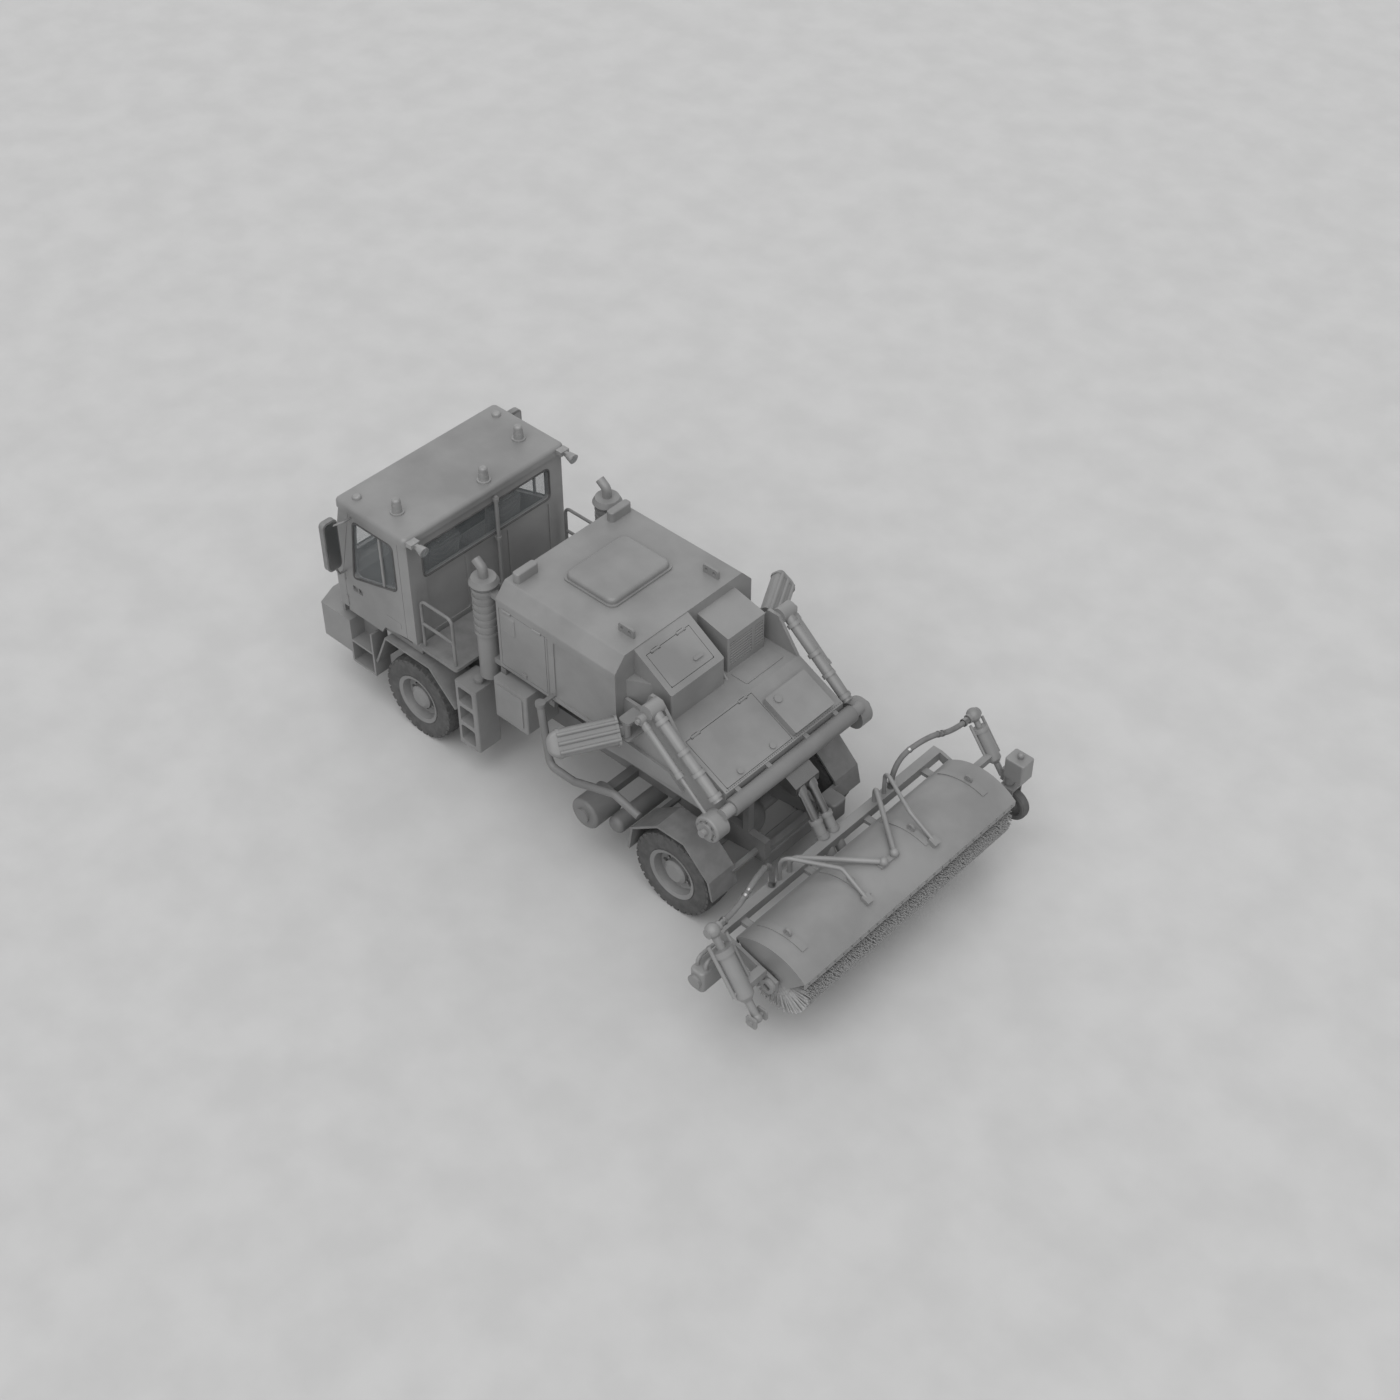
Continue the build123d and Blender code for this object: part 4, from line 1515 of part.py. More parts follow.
def roof_lamps():
    """Beacons, front marker domes and the work lamps on the roof's rear corners."""
    top = WALL_TOP + ROOF_T
    lamps = [beacon(BEACON_X, BEACON_Y), beacon(BEACON_X, -BEACON_Y), beacon(POLE_BEACON_X, -POLE_BEACON_IN)]
    for side in SIDES.values():
        dome = bar_z(DOME_X, side * DOME_Y, 0.85 * BEACON_R, top, top + 0.7 * BEACON_R)
        lamps.append(fillet(dome.faces().sort_by(Axis.Z)[-1].edges(), radius=0.4 * BEACON_R))
    roof_rear = CAB_REAR - CAB_WALL / 2
    y = ROOF_HALF - 1.4 * WORK_LAMP_R
    arm = block((roof_rear - WORK_LAMP_OUT / 2, roof_rear), (y - WORK_LAMP_R, y + WORK_LAMP_R),
                (WALL_TOP + 0.3 * ROOF_T, WALL_TOP + 0.8 * ROOF_T))
    arm += block((roof_rear - WORK_LAMP_OUT, roof_rear - WORK_LAMP_OUT / 2),
                 (y - WORK_LAMP_R / 3, y + WORK_LAMP_R / 3),
                 (WALL_TOP + 0.2 * ROOF_T, WALL_TOP + 0.7 * ROOF_T))
    face = (roof_rear - 1.25 * WORK_LAMP_OUT, y, WALL_TOP + 0.35 * ROOF_T)
    arm += rod((roof_rear - 0.75 * WORK_LAMP_OUT, y, WALL_TOP + 0.5 * ROOF_T), face, 0.7 * WORK_LAMP_R,
               WORK_LAMP_R)
    return group(lamps + [arm, mirrored(arm)])


MIRROR_X = DOOR_FRONT - 180.0
MIRROR_T = 90.0
MIRROR_Y = CAB_HALF + 240.0
MIRROR_HALF = 105.0
MIRROR_LOW = BELT_Z + 220.0
MIRROR_H = 700.0
MIRROR_ARM_R = 14.0


def mirror():
    """Left mirror: tall rounded housing on a looped arm from the door's outer face."""
    head = block((MIRROR_X, MIRROR_X + MIRROR_T), (MIRROR_Y - MIRROR_HALF, MIRROR_Y + MIRROR_HALF),
                 (MIRROR_LOW, MIRROR_LOW + MIRROR_H))
    head = fillet(head.edges().filter_by(Axis.X), radius=0.6 * MIRROR_HALF)
    head = fillet(head.faces().sort_by(Axis.X)[-1].edges(), radius=0.3 * MIRROR_T)
    x = MIRROR_X + MIRROR_T / 2
    for z, door_x in ((DOOR_TOP - DOOR_STILE / 2, door_top_front(DOOR_TOP) - DOOR_STILE / 2),
                      (BELT_Z, DOOR_FRONT - DOOR_STILE / 2)):
        into = MIRROR_LOW + (0.85 if z > MIRROR_LOW else 0.1) * MIRROR_H
        head += pipe([(door_x, CAB_HALF, z), (door_x, CAB_HALF + MIRROR_HALF, z), (x, MIRROR_Y, into)],
                     MIRROR_ARM_R, 2 * MIRROR_ARM_R)
    return head


PUMP_X = HOOD_REAR + 350.0
PUMP_R = 200.0
PUMP_IN = FENDER_IN + 50.0
PUMP_OUT = FENDER_OUT + 50.0
AIR_TANK_X = HOOD_REAR + 20.0
AIR_TANK_R = 110.0
TAIL_BOX_L = 260.0


def underbody_units():
    """Pump cases and air tanks under each side, and the boxes at the rails' tail."""
    z = RAIL_BOTTOM - 0.2 * PUMP_R
    pump = bar_y(PUMP_X, z, PUMP_R, PUMP_IN, PUMP_OUT)
    pump = fillet(pump.faces().sort_by(Axis.Y)[-1].edges(), radius=0.2 * PUMP_R)
    pump += bar_y(PUMP_X, z, 0.45 * PUMP_R, PUMP_OUT, PUMP_OUT + 0.15 * PUMP_R)
    pump += block((PUMP_X - 0.3 * PUMP_R, PUMP_X + 0.3 * PUMP_R), (RAIL_OUT, PUMP_IN),
                  (RAIL_BOTTOM, RAIL_BOTTOM + 0.5 * PUMP_R))
    tank_z = RAIL_BOTTOM - AIR_TANK_R
    tank = bar_y(AIR_TANK_X, tank_z, AIR_TANK_R, RAIL_OUT - RAIL_W, FENDER_OUT - RAIL_W)
    tank = fillet(tank.faces().sort_by(Axis.Y)[-1].edges(), radius=0.6 * AIR_TANK_R)
    tank += block((AIR_TANK_X - AIR_TANK_R / 2, AIR_TANK_X + AIR_TANK_R / 2), (RAIL_IN, RAIL_OUT),
                  (tank_z, RAIL_BOTTOM))
    box_x = (RAIL_REAR - TAIL_BOX_L, RAIL_REAR)
    right = soft_block(box_x, (-RAIL_OUT - TAIL_BOX_L / 2, -RAIL_IN),
                       (RAIL_BOTTOM + RAIL_H / 2, RAIL_TOP + 0.4 * TAIL_BOX_L), 0.2 * TAIL_BOX_L)
    low = soft_block((RAIL_REAR + 0.1 * TAIL_BOX_L, RAIL_REAR + TAIL_BOX_L), (-RAIL_IN, RAIL_IN),
                     (RAIL_BOTTOM - 0.7 * TAIL_BOX_L, RAIL_BOTTOM), 0.15 * TAIL_BOX_L)
    return group([pump, tank, mirrored(pump), mirrored(tank), right, low])


def build():
    whole = {
        "chassis_frame": chassis_frame, "engine_block": engine_block, "rear_axle": rear_axle,
        "front_axle": front_axle, "cab_floor": cab_floor, "cab_front": cab_front,
        "cab_rear": cab_rear, "cab_roof": cab_roof, "cab_glass": cab_glass, "dashboard": dashboard,
        "front_bumper": front_bumper, "fenders": fenders, "platform": platform,
        "hood_front": hood_front, "hood_rear": hood_rear, "left_block": left_block,
        "right_block": right_block, "rear_deck": rear_deck, "cross_tube": cross_tube,
        "lift_guides": lift_guides, "roof_lamps": roof_lamps, "underbody_units": underbody_units,
        "block_lid": block_lid, "deck_hatch": deck_hatch, "broom_frame": broom_frame,
        "broom_hood": broom_hood, "broom_hoses": broom_hoses, "broom_brush": broom_brush,
        "brush_shaft": brush_shaft,
    }
    for name, make in whole.items():
        PARTS[name] = make()
    pairs = {
        "cab_seats": [seat()], "handrails": [handrail()], "side_tanks": [side_tank(), side_box()],
        "exhaust_stacks": [exhaust_stack()], "side_booms": [side_boom()], "side_pipes": [side_pipe()],
    }
    for name, pieces in pairs.items():
        PARTS[name] = both(*pieces)
    left_pieces = {
        "cab_side": cab_side(), "steering_knuckle": knuckle(), "cab_door": door(), "door_glass": door_glass(),
        "mirror": mirror(), "hood_door": hood_door(), "nozzle": nozzle(),
        "front_tyre": tyre(WHEELBASE), "rear_tyre": tyre(0), "front_rim": rim(WHEELBASE), "rear_rim": rim(0),
    }
    for name, piece in left_pieces.items():
        for side in SIDES:
            PARTS[f"{name}_{side}"] = on_side(piece, side)
    PARTS["caster_fork"] = mirrored(caster_fork())
    PARTS["caster_wheel"] = mirrored(caster_wheel())


def main():
    build()
    os.makedirs("parts", exist_ok=True)
    for node, shape in PARTS.items():
        export_step(shape.moved(Location((-X_MID, 0, 0))), f"parts/{node}.step")


main()
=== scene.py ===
import json
import math

import bmesh
import bpy
from bpy.props import FloatProperty, IntProperty, PointerProperty, StringProperty
from bpy.types import Operator, Panel, PropertyGroup
from mathutils import Matrix, Vector


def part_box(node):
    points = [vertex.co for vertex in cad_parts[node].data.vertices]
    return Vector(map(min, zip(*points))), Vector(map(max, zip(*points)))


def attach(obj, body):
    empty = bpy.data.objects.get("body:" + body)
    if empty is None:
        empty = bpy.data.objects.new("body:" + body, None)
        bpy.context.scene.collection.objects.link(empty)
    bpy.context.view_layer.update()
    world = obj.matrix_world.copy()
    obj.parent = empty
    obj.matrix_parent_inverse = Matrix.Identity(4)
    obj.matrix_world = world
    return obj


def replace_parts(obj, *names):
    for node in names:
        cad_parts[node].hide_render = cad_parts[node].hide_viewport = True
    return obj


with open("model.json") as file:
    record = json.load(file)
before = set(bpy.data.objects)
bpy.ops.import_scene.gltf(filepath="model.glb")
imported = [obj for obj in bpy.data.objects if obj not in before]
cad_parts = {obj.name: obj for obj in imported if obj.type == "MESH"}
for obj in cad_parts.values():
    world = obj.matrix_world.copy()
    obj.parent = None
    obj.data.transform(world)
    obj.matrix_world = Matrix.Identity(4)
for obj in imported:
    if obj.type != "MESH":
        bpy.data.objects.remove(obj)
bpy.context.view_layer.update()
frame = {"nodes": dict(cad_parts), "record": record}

bl_info = {
    "name": "Runway sweeper dressing",
    "version": (1, 0, 0),
    "blender": (4, 5, 0),
    "location": "View3D > Sidebar > Sweeper",
    "description": "Finishes, tread, bristles, seats, hoses and studio for the runway sweeper",
    "category": "Object",
}

REAR_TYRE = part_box("rear_tyre_left")
AXLE_X = (REAR_TYRE[0].x + REAR_TYRE[1].x) / 2


def place(x, y, z):
    """Metres from the rear axle and the ground to the frame's own origin."""
    return Vector((x + AXLE_X, y, z))


# Materials

def linear(code):
    """A six-digit sRGB colour code as linear red, green and blue."""
    values = [int(code[i:i + 2], 16) / 255 for i in (1, 3, 5)]
    return tuple(v / 12.92 if v <= 0.04045 else ((v + 0.055) / 1.055) ** 2.4 for v in values) + (1.0,)


def add(tree, kind, links=None, **values):
    """A node of one kind with its settings, values and incoming links by socket name."""
    node = tree.nodes.new(kind)
    for name, value in values.items():
        if name in node.inputs:
            node.inputs[name].default_value = value
        else:
            setattr(node, name, value)
    for name, source in (links or {}).items():
        tree.links.new(source, node.inputs[name])
    return node


def start(name):
    """An empty material with its shader, and the object coordinates in metres."""
    material = bpy.data.materials.new(name)
    material.use_nodes = True
    tree = material.node_tree
    tree.nodes.clear()
    shader = add(tree, "ShaderNodeBsdfPrincipled")
    add(tree, "ShaderNodeOutputMaterial", {"Surface": shader.outputs["BSDF"]})
    coords = add(tree, "ShaderNodeTexCoord").outputs["Object"]
    return material, tree, shader, coords


# Radians that Blender's wave texture turns over one unit at a scale of 1.
WAVE_TURN = 20.0
# Share of a soft pattern where a finish leaves its dark tone and where it reaches its pale one.
DRIFT = (0.35, 0.65)


def patches(size_mm):
    """Scale at which a noise or cell pattern has patches of about a size."""
    return 1000.0 / size_mm


def bands(pitch_mm):
    """Scale at which a wave pattern repeats at a pitch."""
    return 2 * math.pi * 1000.0 / pitch_mm / WAVE_TURN


def surface(tree, shader, colour=None, rough=None, bump=None):
    """Let patterns drive the shader's colour, roughness and bump.

    Colour is a pattern, its dark and pale codes and the two shares where they start. Rough is a pattern
    with its lowest and highest roughness. Bump is a pattern with its strength and its depth in millimetres.
    """
    if colour:
        fac, codes, shares = colour
        ramp = add(tree, "ShaderNodeValToRGB", {"Fac": fac})
        for stop, code, share in zip(ramp.color_ramp.elements, codes, shares):
            stop.position = share
            stop.color = linear(code)
        tree.links.new(ramp.outputs["Color"], shader.inputs["Base Color"])
    if rough:
        fac, low, high = rough
        span = add(tree, "ShaderNodeMapRange", {"Value": fac}, **{"To Min": low, "To Max": high})
        tree.links.new(span.outputs["Result"], shader.inputs["Roughness"])
    if bump:
        height, strength, depth_mm = bump
        depth = depth_mm / 1000.0
        raised = add(tree, "ShaderNodeBump", {"Height": height}, Strength=strength, Distance=depth)
        tree.links.new(raised.outputs["Normal"], shader.inputs["Normal"])


def painted(name, dark, pale, rough, peel_mm=2.5, fade_mm=700.0, dust_mm=180.0):
    """Sprayed paint: slight fade over large areas, dusty patches, orange-peel skin."""
    material, tree, shader, coords = start(name)
    fade = add(tree, "ShaderNodeTexNoise", {"Vector": coords}, Scale=patches(fade_mm), Detail=4.0)
    dust = add(tree, "ShaderNodeTexNoise", {"Vector": coords}, Scale=patches(dust_mm), Detail=6.0)
    peel = add(tree, "ShaderNodeTexNoise", {"Vector": coords}, Scale=patches(peel_mm), Detail=2.0)
    surface(tree, shader, (fade.outputs["Fac"], (dark, pale), DRIFT),
            (dust.outputs["Fac"], rough - 0.07, rough + 0.1), (peel.outputs["Fac"], 0.12, 0.4))
    return material


def rubber(name, dark, pale, grain_mm, bloom_mm=90.0, wear_mm=25.0):
    """Matt rubber: dusty grey bloom and a fine pebbled grain."""
    material, tree, shader, coords = start(name)
    bloom = add(tree, "ShaderNodeTexNoise", {"Vector": coords}, Scale=patches(bloom_mm), Detail=6.0)
    wear = add(tree, "ShaderNodeTexNoise", {"Vector": coords}, Scale=patches(wear_mm), Detail=4.0)
    grain = add(tree, "ShaderNodeTexNoise", {"Vector": coords}, Scale=patches(grain_mm), Detail=2.0)
    surface(tree, shader, (bloom.outputs["Fac"], (dark, pale), DRIFT), (wear.outputs["Fac"], 0.68, 0.88),
            (grain.outputs["Fac"], 0.35, 0.6))
    return material


def metal(name, dark, pale, rough, scratch_mm, stretch=12.0):
    """Bare steel: fine drawn lines that catch the light along one way."""
    material, tree, shader, coords = start(name)
    shader.inputs["Metallic"].default_value = 1.0
    drawn = add(tree, "ShaderNodeMapping", {"Vector": coords}, Scale=(1.0, stretch, 1.0)).outputs["Vector"]
    noise = add(tree, "ShaderNodeTexNoise", {"Vector": drawn}, Scale=patches(scratch_mm), Detail=3.0)
    lines = noise.outputs["Fac"]
    surface(tree, shader, (lines, (dark, pale), DRIFT), (lines, rough - 0.08, rough + 0.1), (lines, 0.1, 0.2))
    return material


def moulded(name, dark, pale, rough, grain_mm, drift_mm=120.0, touch_mm=60.0):
    """Moulded plastic: even colour with a leather-like grain from the tool."""
    material, tree, shader, coords = start(name)
    cells = add(tree, "ShaderNodeTexVoronoi", {"Vector": coords}, Scale=patches(grain_mm))
    drift = add(tree, "ShaderNodeTexNoise", {"Vector": coords}, Scale=patches(drift_mm), Detail=4.0)
    touch = add(tree, "ShaderNodeTexNoise", {"Vector": coords}, Scale=patches(touch_mm), Detail=4.0)
    surface(tree, shader, (drift.outputs["Fac"], (dark, pale), DRIFT),
            (touch.outputs["Fac"], rough - 0.05, rough + 0.08), (cells.outputs["Distance"], 0.25, 0.4))
    return material


def woven(name, dark, pale, pitch_mm):
    """Upholstery cloth: crossed threads in two close greys, drawn coarser than real thread."""
    material, tree, shader, coords = start(name)
    threads = [add(tree, "ShaderNodeTexWave", {"Vector": coords}, wave_type="BANDS", bands_direction=way,
                   Scale=bands(pitch_mm)).outputs["Fac"] for way in ("X", "Y")]
    cross = add(tree, "ShaderNodeMath", dict(enumerate(threads)), operation="MULTIPLY").outputs["Value"]
    shader.inputs["Roughness"].default_value = 0.9
    shader.inputs["Sheen Weight"].default_value = 0.3
    surface(tree, shader, colour=(cross, (dark, pale), (0.1, 0.9)), bump=(cross, 0.4, 0.6))
    return material


def glass(name, code, cover, dust_mm=400.0):
    """Tinted safety glass: lets most light through, with faint wiped dust in its gloss."""
    material, tree, shader, coords = start(name)
    shader.inputs["Base Color"].default_value = linear(code)
    shader.inputs["Alpha"].default_value = cover
    shader.inputs["IOR"].default_value = 1.45
    dust = add(tree, "ShaderNodeTexNoise", {"Vector": coords}, Scale=patches(dust_mm), Detail=5.0)
    surface(tree, shader, rough=(dust.outputs["Fac"], 0.02, 0.09))
    return material


def chequered(name, dark, pale, pitch_mm, scuff_mm=160.0, wear_mm=70.0):
    """Painted, scuffed chequer plate: raised crossed bars, drawn far coarser than real ones."""
    material, tree, shader, coords = start(name)
    bars = []
    for degrees in (45.0, -45.0):
        turn = (0.0, 0.0, math.radians(degrees))
        turned = add(tree, "ShaderNodeMapping", {"Vector": coords}, Rotation=turn).outputs["Vector"]
        bars.append(add(tree, "ShaderNodeTexWave", {"Vector": turned}, Scale=bands(pitch_mm)).outputs["Fac"])
    cross = add(tree, "ShaderNodeMath", dict(enumerate(bars)), operation="MULTIPLY").outputs["Value"]
    scuff = add(tree, "ShaderNodeTexNoise", {"Vector": coords}, Scale=patches(scuff_mm), Detail=6.0)
    wear = add(tree, "ShaderNodeTexNoise", {"Vector": coords}, Scale=patches(wear_mm), Detail=6.0)
    surface(tree, shader, (scuff.outputs["Fac"], (dark, pale), DRIFT), (wear.outputs["Fac"], 0.42, 0.62),
            (cross, 0.6, 3.0))
    return material


def fibre(name, dark, pale, streak_mm=30.0, stretch=6.0):
    """Polypropylene bristle: streaks of darker and paler fibre, narrowed along the brush."""
    material, tree, shader, coords = start(name)
    drawn = add(tree, "ShaderNodeMapping", {"Vector": coords}, Scale=(1.0, stretch, 1.0)).outputs["Vector"]
    noise = add(tree, "ShaderNodeTexNoise", {"Vector": drawn}, Scale=patches(streak_mm), Detail=5.0)
    streaks = noise.outputs["Fac"]
    surface(tree, shader, (streaks, (dark, pale), DRIFT), (streaks, 0.5, 0.7), (streaks, 0.5, 1.5))
    return material


def make_finishes(paint):
    """One material for each slot of the record."""
    return {
        "body_paint": painted("satin body paint", paint.body_dark, paint.body_pale, 0.36),
        "platform_paint": chequered("walkway chequer plate", "#707070", "#7d7d7d", 282.743),
        "chassis_paint": painted("chassis enamel", paint.chassis_dark, paint.chassis_pale, 0.48),
        "cast_engine": painted("painted casting", "#585858", "#696969", 0.6, 6.0),
        "wheel_steel": painted("wheel enamel", "#777777", "#858585", 0.4),
        "lamp_plastic": moulded("lamp plastic", "#868686", "#939393", 0.25, 8.0),
        "mirror_plastic": moulded("mirror housing plastic", "#747474", "#828282", 0.5, 2.0),
        "dash_plastic": moulded("dashboard plastic", "#5a5a5a", "#676767", 0.6, 1.6),
        "tyre_rubber": rubber("tyre rubber", paint.tyre_dark, paint.tyre_pale, 3.0),
        "solid_tyre": rubber("solid caster rubber", "#505050", "#5d5d5d", 3.0),
        "hose_rubber": rubber("hose rubber", "#686868", "#757575", 2.0),
        "seat_fabric": woven("seat cloth", "#5f5f5f", "#747474", 7.5398),
        "bristle": fibre("bristle polypropylene", paint.bristle_dark, paint.bristle_pale),
        "bright_steel": metal("ground steel rod", "#909090", "#a6a6a6", 0.3, 6.0),
        "cab_glass": glass("safety glass", "#9fa4a6", 0.18),
    }


FINISH = {}


# Shared makers

def piece(name, mesh, body, slot):
    """A finished object that rides on a body and takes a slot's material."""
    item = bpy.data.objects.new(name, mesh)
    bpy.context.scene.collection.objects.link(item)
    mesh.materials.clear()
    mesh.materials.append(FINISH[slot])
    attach(item, body)
    return item


def shade_smooth(mesh, degrees=35.0):
    """Smooth shading that keeps edges sharper than an angle."""
    mesh.shade_smooth()
    mesh.set_sharp_from_angle(angle=math.radians(degrees))


def rounded_box(size, centre, bevel, segments=3):
    """A box mesh with rounded edges."""
    shape = bmesh.new()
    bmesh.ops.create_cube(shape, size=1.0)
    bmesh.ops.scale(shape, vec=size, verts=shape.verts)
    bmesh.ops.bevel(shape, geom=shape.edges[:], offset=bevel, segments=segments, profile=0.5, affect="EDGES")
    bmesh.ops.translate(shape, vec=centre, verts=shape.verts)
    return shape


def to_mesh(shape, name):
    """A mesh from a bmesh, which is freed."""
    mesh = bpy.data.meshes.new(name)
    shape.to_mesh(mesh)
    shape.free()
    return mesh


def tube(name, points, radius, closed=False, resolution=6):
    """A round tube along straight runs between points, as a mesh."""
    curve = bpy.data.curves.new(name, "CURVE")
    curve.dimensions = "3D"
    curve.bevel_depth = radius
    curve.bevel_resolution = resolution
    curve.use_fill_caps = True
    line = curve.splines.new("POLY")
    line.points.add(len(points) - 1)
    for point, value in zip(line.points, points):
        point.co = (*value, 1.0)
    line.use_cyclic_u = closed
    holder = bpy.data.objects.new(name + "_curve", curve)
    bpy.context.scene.collection.objects.link(holder)
    mesh = bpy.data.meshes.new_from_object(holder.evaluated_get(bpy.context.evaluated_depsgraph_get()))
    bpy.data.objects.remove(holder)
    mesh.name = name
    return mesh


def ring_group():
    """Geometry nodes that repeat one object round a circle about the wheel's own axis."""
    group = bpy.data.node_groups.new("Ring repeat", "GeometryNodeTree")
    face = group.interface
    face.new_socket("Item", in_out="INPUT", socket_type="NodeSocketObject")
    face.new_socket("Count", in_out="INPUT", socket_type="NodeSocketInt")
    face.new_socket("Radius", in_out="INPUT", socket_type="NodeSocketFloat")
    face.new_socket("Centre", in_out="INPUT", socket_type="NodeSocketVector")
    face.new_socket("Start angle", in_out="INPUT", socket_type="NodeSocketFloat")
    face.new_socket("Material", in_out="INPUT", socket_type="NodeSocketMaterial")
    face.new_socket("Geometry", in_out="OUTPUT", socket_type="NodeSocketGeometry")
    source = add(group, "NodeGroupInput").outputs
    circle = add(group, "GeometryNodeMeshCircle", {"Vertices": source["Count"], "Radius": source["Radius"]})
    where = add(group, "GeometryNodeInputPosition").outputs["Position"]
    aim = add(group, "FunctionNodeAlignRotationToVector", {"Vector": where}, axis="X")
    item = add(group, "GeometryNodeObjectInfo", {"Object": source["Item"]}).outputs["Geometry"]
    copies = add(group, "GeometryNodeInstanceOnPoints",
                 {"Points": circle.outputs["Mesh"], "Instance": item, "Rotation": aim.outputs["Rotation"]})
    spin = add(group, "ShaderNodeCombineXYZ", {"Z": source["Start angle"]})
    turned = add(group, "GeometryNodeTransform",
                 {"Geometry": copies.outputs["Instances"], "Rotation": spin.outputs["Vector"]})
    upright = add(group, "GeometryNodeTransform",
                  {"Geometry": turned.outputs["Geometry"], "Translation": source["Centre"]})
    upright.inputs["Rotation"].default_value = (math.radians(90.0), 0.0, 0.0)
    real = add(group, "GeometryNodeRealizeInstances", {"Geometry": upright.outputs["Geometry"]})
    dressed = add(group, "GeometryNodeSetMaterial",
                  {"Geometry": real.outputs["Geometry"], "Material": source["Material"]})
    add(group, "NodeGroupOutput", {"Geometry": dressed.outputs["Geometry"]})
    return group


def spike_group():
    """Geometry nodes that stand one object on each point, along the point's stored direction."""
    group = bpy.data.node_groups.new("Bristle repeat", "GeometryNodeTree")
    face = group.interface
    face.new_socket("Geometry", in_out="INPUT", socket_type="NodeSocketGeometry")
    face.new_socket("Item", in_out="INPUT", socket_type="NodeSocketObject")
    face.new_socket("Lean", in_out="INPUT", socket_type="NodeSocketFloat")
    face.new_socket("Material", in_out="INPUT", socket_type="NodeSocketMaterial")
    face.new_socket("Geometry", in_out="OUTPUT", socket_type="NodeSocketGeometry")
    source = add(group, "NodeGroupInput").outputs
    aim = add(group, "GeometryNodeInputNamedAttribute", data_type="FLOAT_VECTOR", Name="aim")
    spread = add(group, "FunctionNodeRandomValue", data_type="FLOAT_VECTOR", Seed=7)
    spread.inputs["Min"].default_value = (-1.0, -1.0, -1.0)
    scaled = add(group, "ShaderNodeVectorMath", {0: spread.outputs["Value"], "Scale": source["Lean"]},
                 operation="SCALE")
    bent = add(group, "ShaderNodeVectorMath", {0: aim.outputs["Attribute"], 1: scaled.outputs["Vector"]},
               operation="ADD")
    turn = add(group, "FunctionNodeAlignRotationToVector", {"Vector": bent.outputs["Vector"]}, axis="Z")
    item = add(group, "GeometryNodeObjectInfo", {"Object": source["Item"]}).outputs["Geometry"]
    copies = add(group, "GeometryNodeInstanceOnPoints",
                 {"Points": source["Geometry"], "Instance": item, "Rotation": turn.outputs["Rotation"]})
    real = add(group, "GeometryNodeRealizeInstances", {"Geometry": copies.outputs["Instances"]})
    dressed = add(group, "GeometryNodeSetMaterial",
                  {"Geometry": real.outputs["Geometry"], "Material": source["Material"]})
    add(group, "NodeGroupOutput", {"Geometry": dressed.outputs["Geometry"]})
    return group


def run_nodes(group, name, values, points=()):
    """The mesh that a node group makes with named inputs, on points with their directions if given."""
    base = bpy.data.meshes.new(name + "_base")
    if points:
        base.from_pydata([spot for spot, aim in points], [], [])
        stored = base.attributes.new("aim", "FLOAT_VECTOR", "POINT")
        stored.data.foreach_set("vector", [value for spot, aim in points for value in aim])
    holder = bpy.data.objects.new(name + "_nodes", base)
    bpy.context.scene.collection.objects.link(holder)
    modifier = holder.modifiers.new("Repeat", "NODES")
    modifier.node_group = group
    for socket in group.interface.items_tree:
        if socket.in_out == "INPUT" and socket.name in values:
            modifier[socket.identifier] = values[socket.name]
    holder.update_tag()
    bpy.context.view_layer.update()
    mesh = bpy.data.meshes.new_from_object(holder.evaluated_get(bpy.context.evaluated_depsgraph_get()))
    mesh.name = name
    bpy.data.objects.remove(holder)
    return mesh


def item_object(name, shape):
    """A source object for a node group, made from a bmesh and removed after use."""
    item = bpy.data.objects.new(name, to_mesh(shape, name))
    bpy.context.scene.collection.objects.link(item)
    return item


def joined(name, meshes):
    """Several meshes as one."""
    shape = bmesh.new()
    for mesh in meshes:
        shape.from_mesh(mesh)
    return to_mesh(shape, name)


# Settings

class SweeperPaint(PropertyGroup):
    body_dark: StringProperty(name="Body, dark", description="sRGB code of the body paint's darker tone",
                              default="#7c7c7c")
    body_pale: StringProperty(name="Body, pale", description="sRGB code of the body paint's paler tone",
                              default="#8a8a8a")
    chassis_dark: StringProperty(name="Chassis, dark",
                                 description="sRGB code of the chassis enamel's darker tone",
                                 default="#6a6a6a")
    chassis_pale: StringProperty(name="Chassis, pale",
                                 description="sRGB code of the chassis enamel's paler tone",
                                 default="#787878")
    tyre_dark: StringProperty(name="Tyre, dark", description="sRGB code of the tyre rubber's darker tone",
                              default="#4b4b4b")
    tyre_pale: StringProperty(name="Tyre, pale", description="sRGB code of the tyre rubber's dusty tone",
                              default="#595959")
    bristle_dark: StringProperty(name="Bristle, dark", description="sRGB code of the bristles' darker tone",
                                 default="#8c8c8c")
    bristle_pale: StringProperty(name="Bristle, pale", description="sRGB code of the bristles' paler tone",
                                 default="#a8a8a8")
    floor_dark: StringProperty(name="Floor, dark", description="sRGB code of the floor's darker tone",
                               default="#bababa")
    floor_pale: StringProperty(name="Floor, pale", description="sRGB code of the floor's paler tone",
                               default="#c0c0c0")


class SweeperTread(PropertyGroup):
    blocks: IntProperty(name="Blocks", description="Tread blocks round each tyre", default=32, min=12, max=90)
    height: FloatProperty(name="Height", description="Depth of a tread block", default=0.036, unit="LENGTH",
                          subtype="DISTANCE")
    proud: FloatProperty(name="Proud", description="How far a block stands out of the tyre", default=0.004,
                         unit="LENGTH", subtype="DISTANCE")
    nuts: IntProperty(name="Nuts", description="Wheel nuts on each rim", default=10, min=4, max=16)


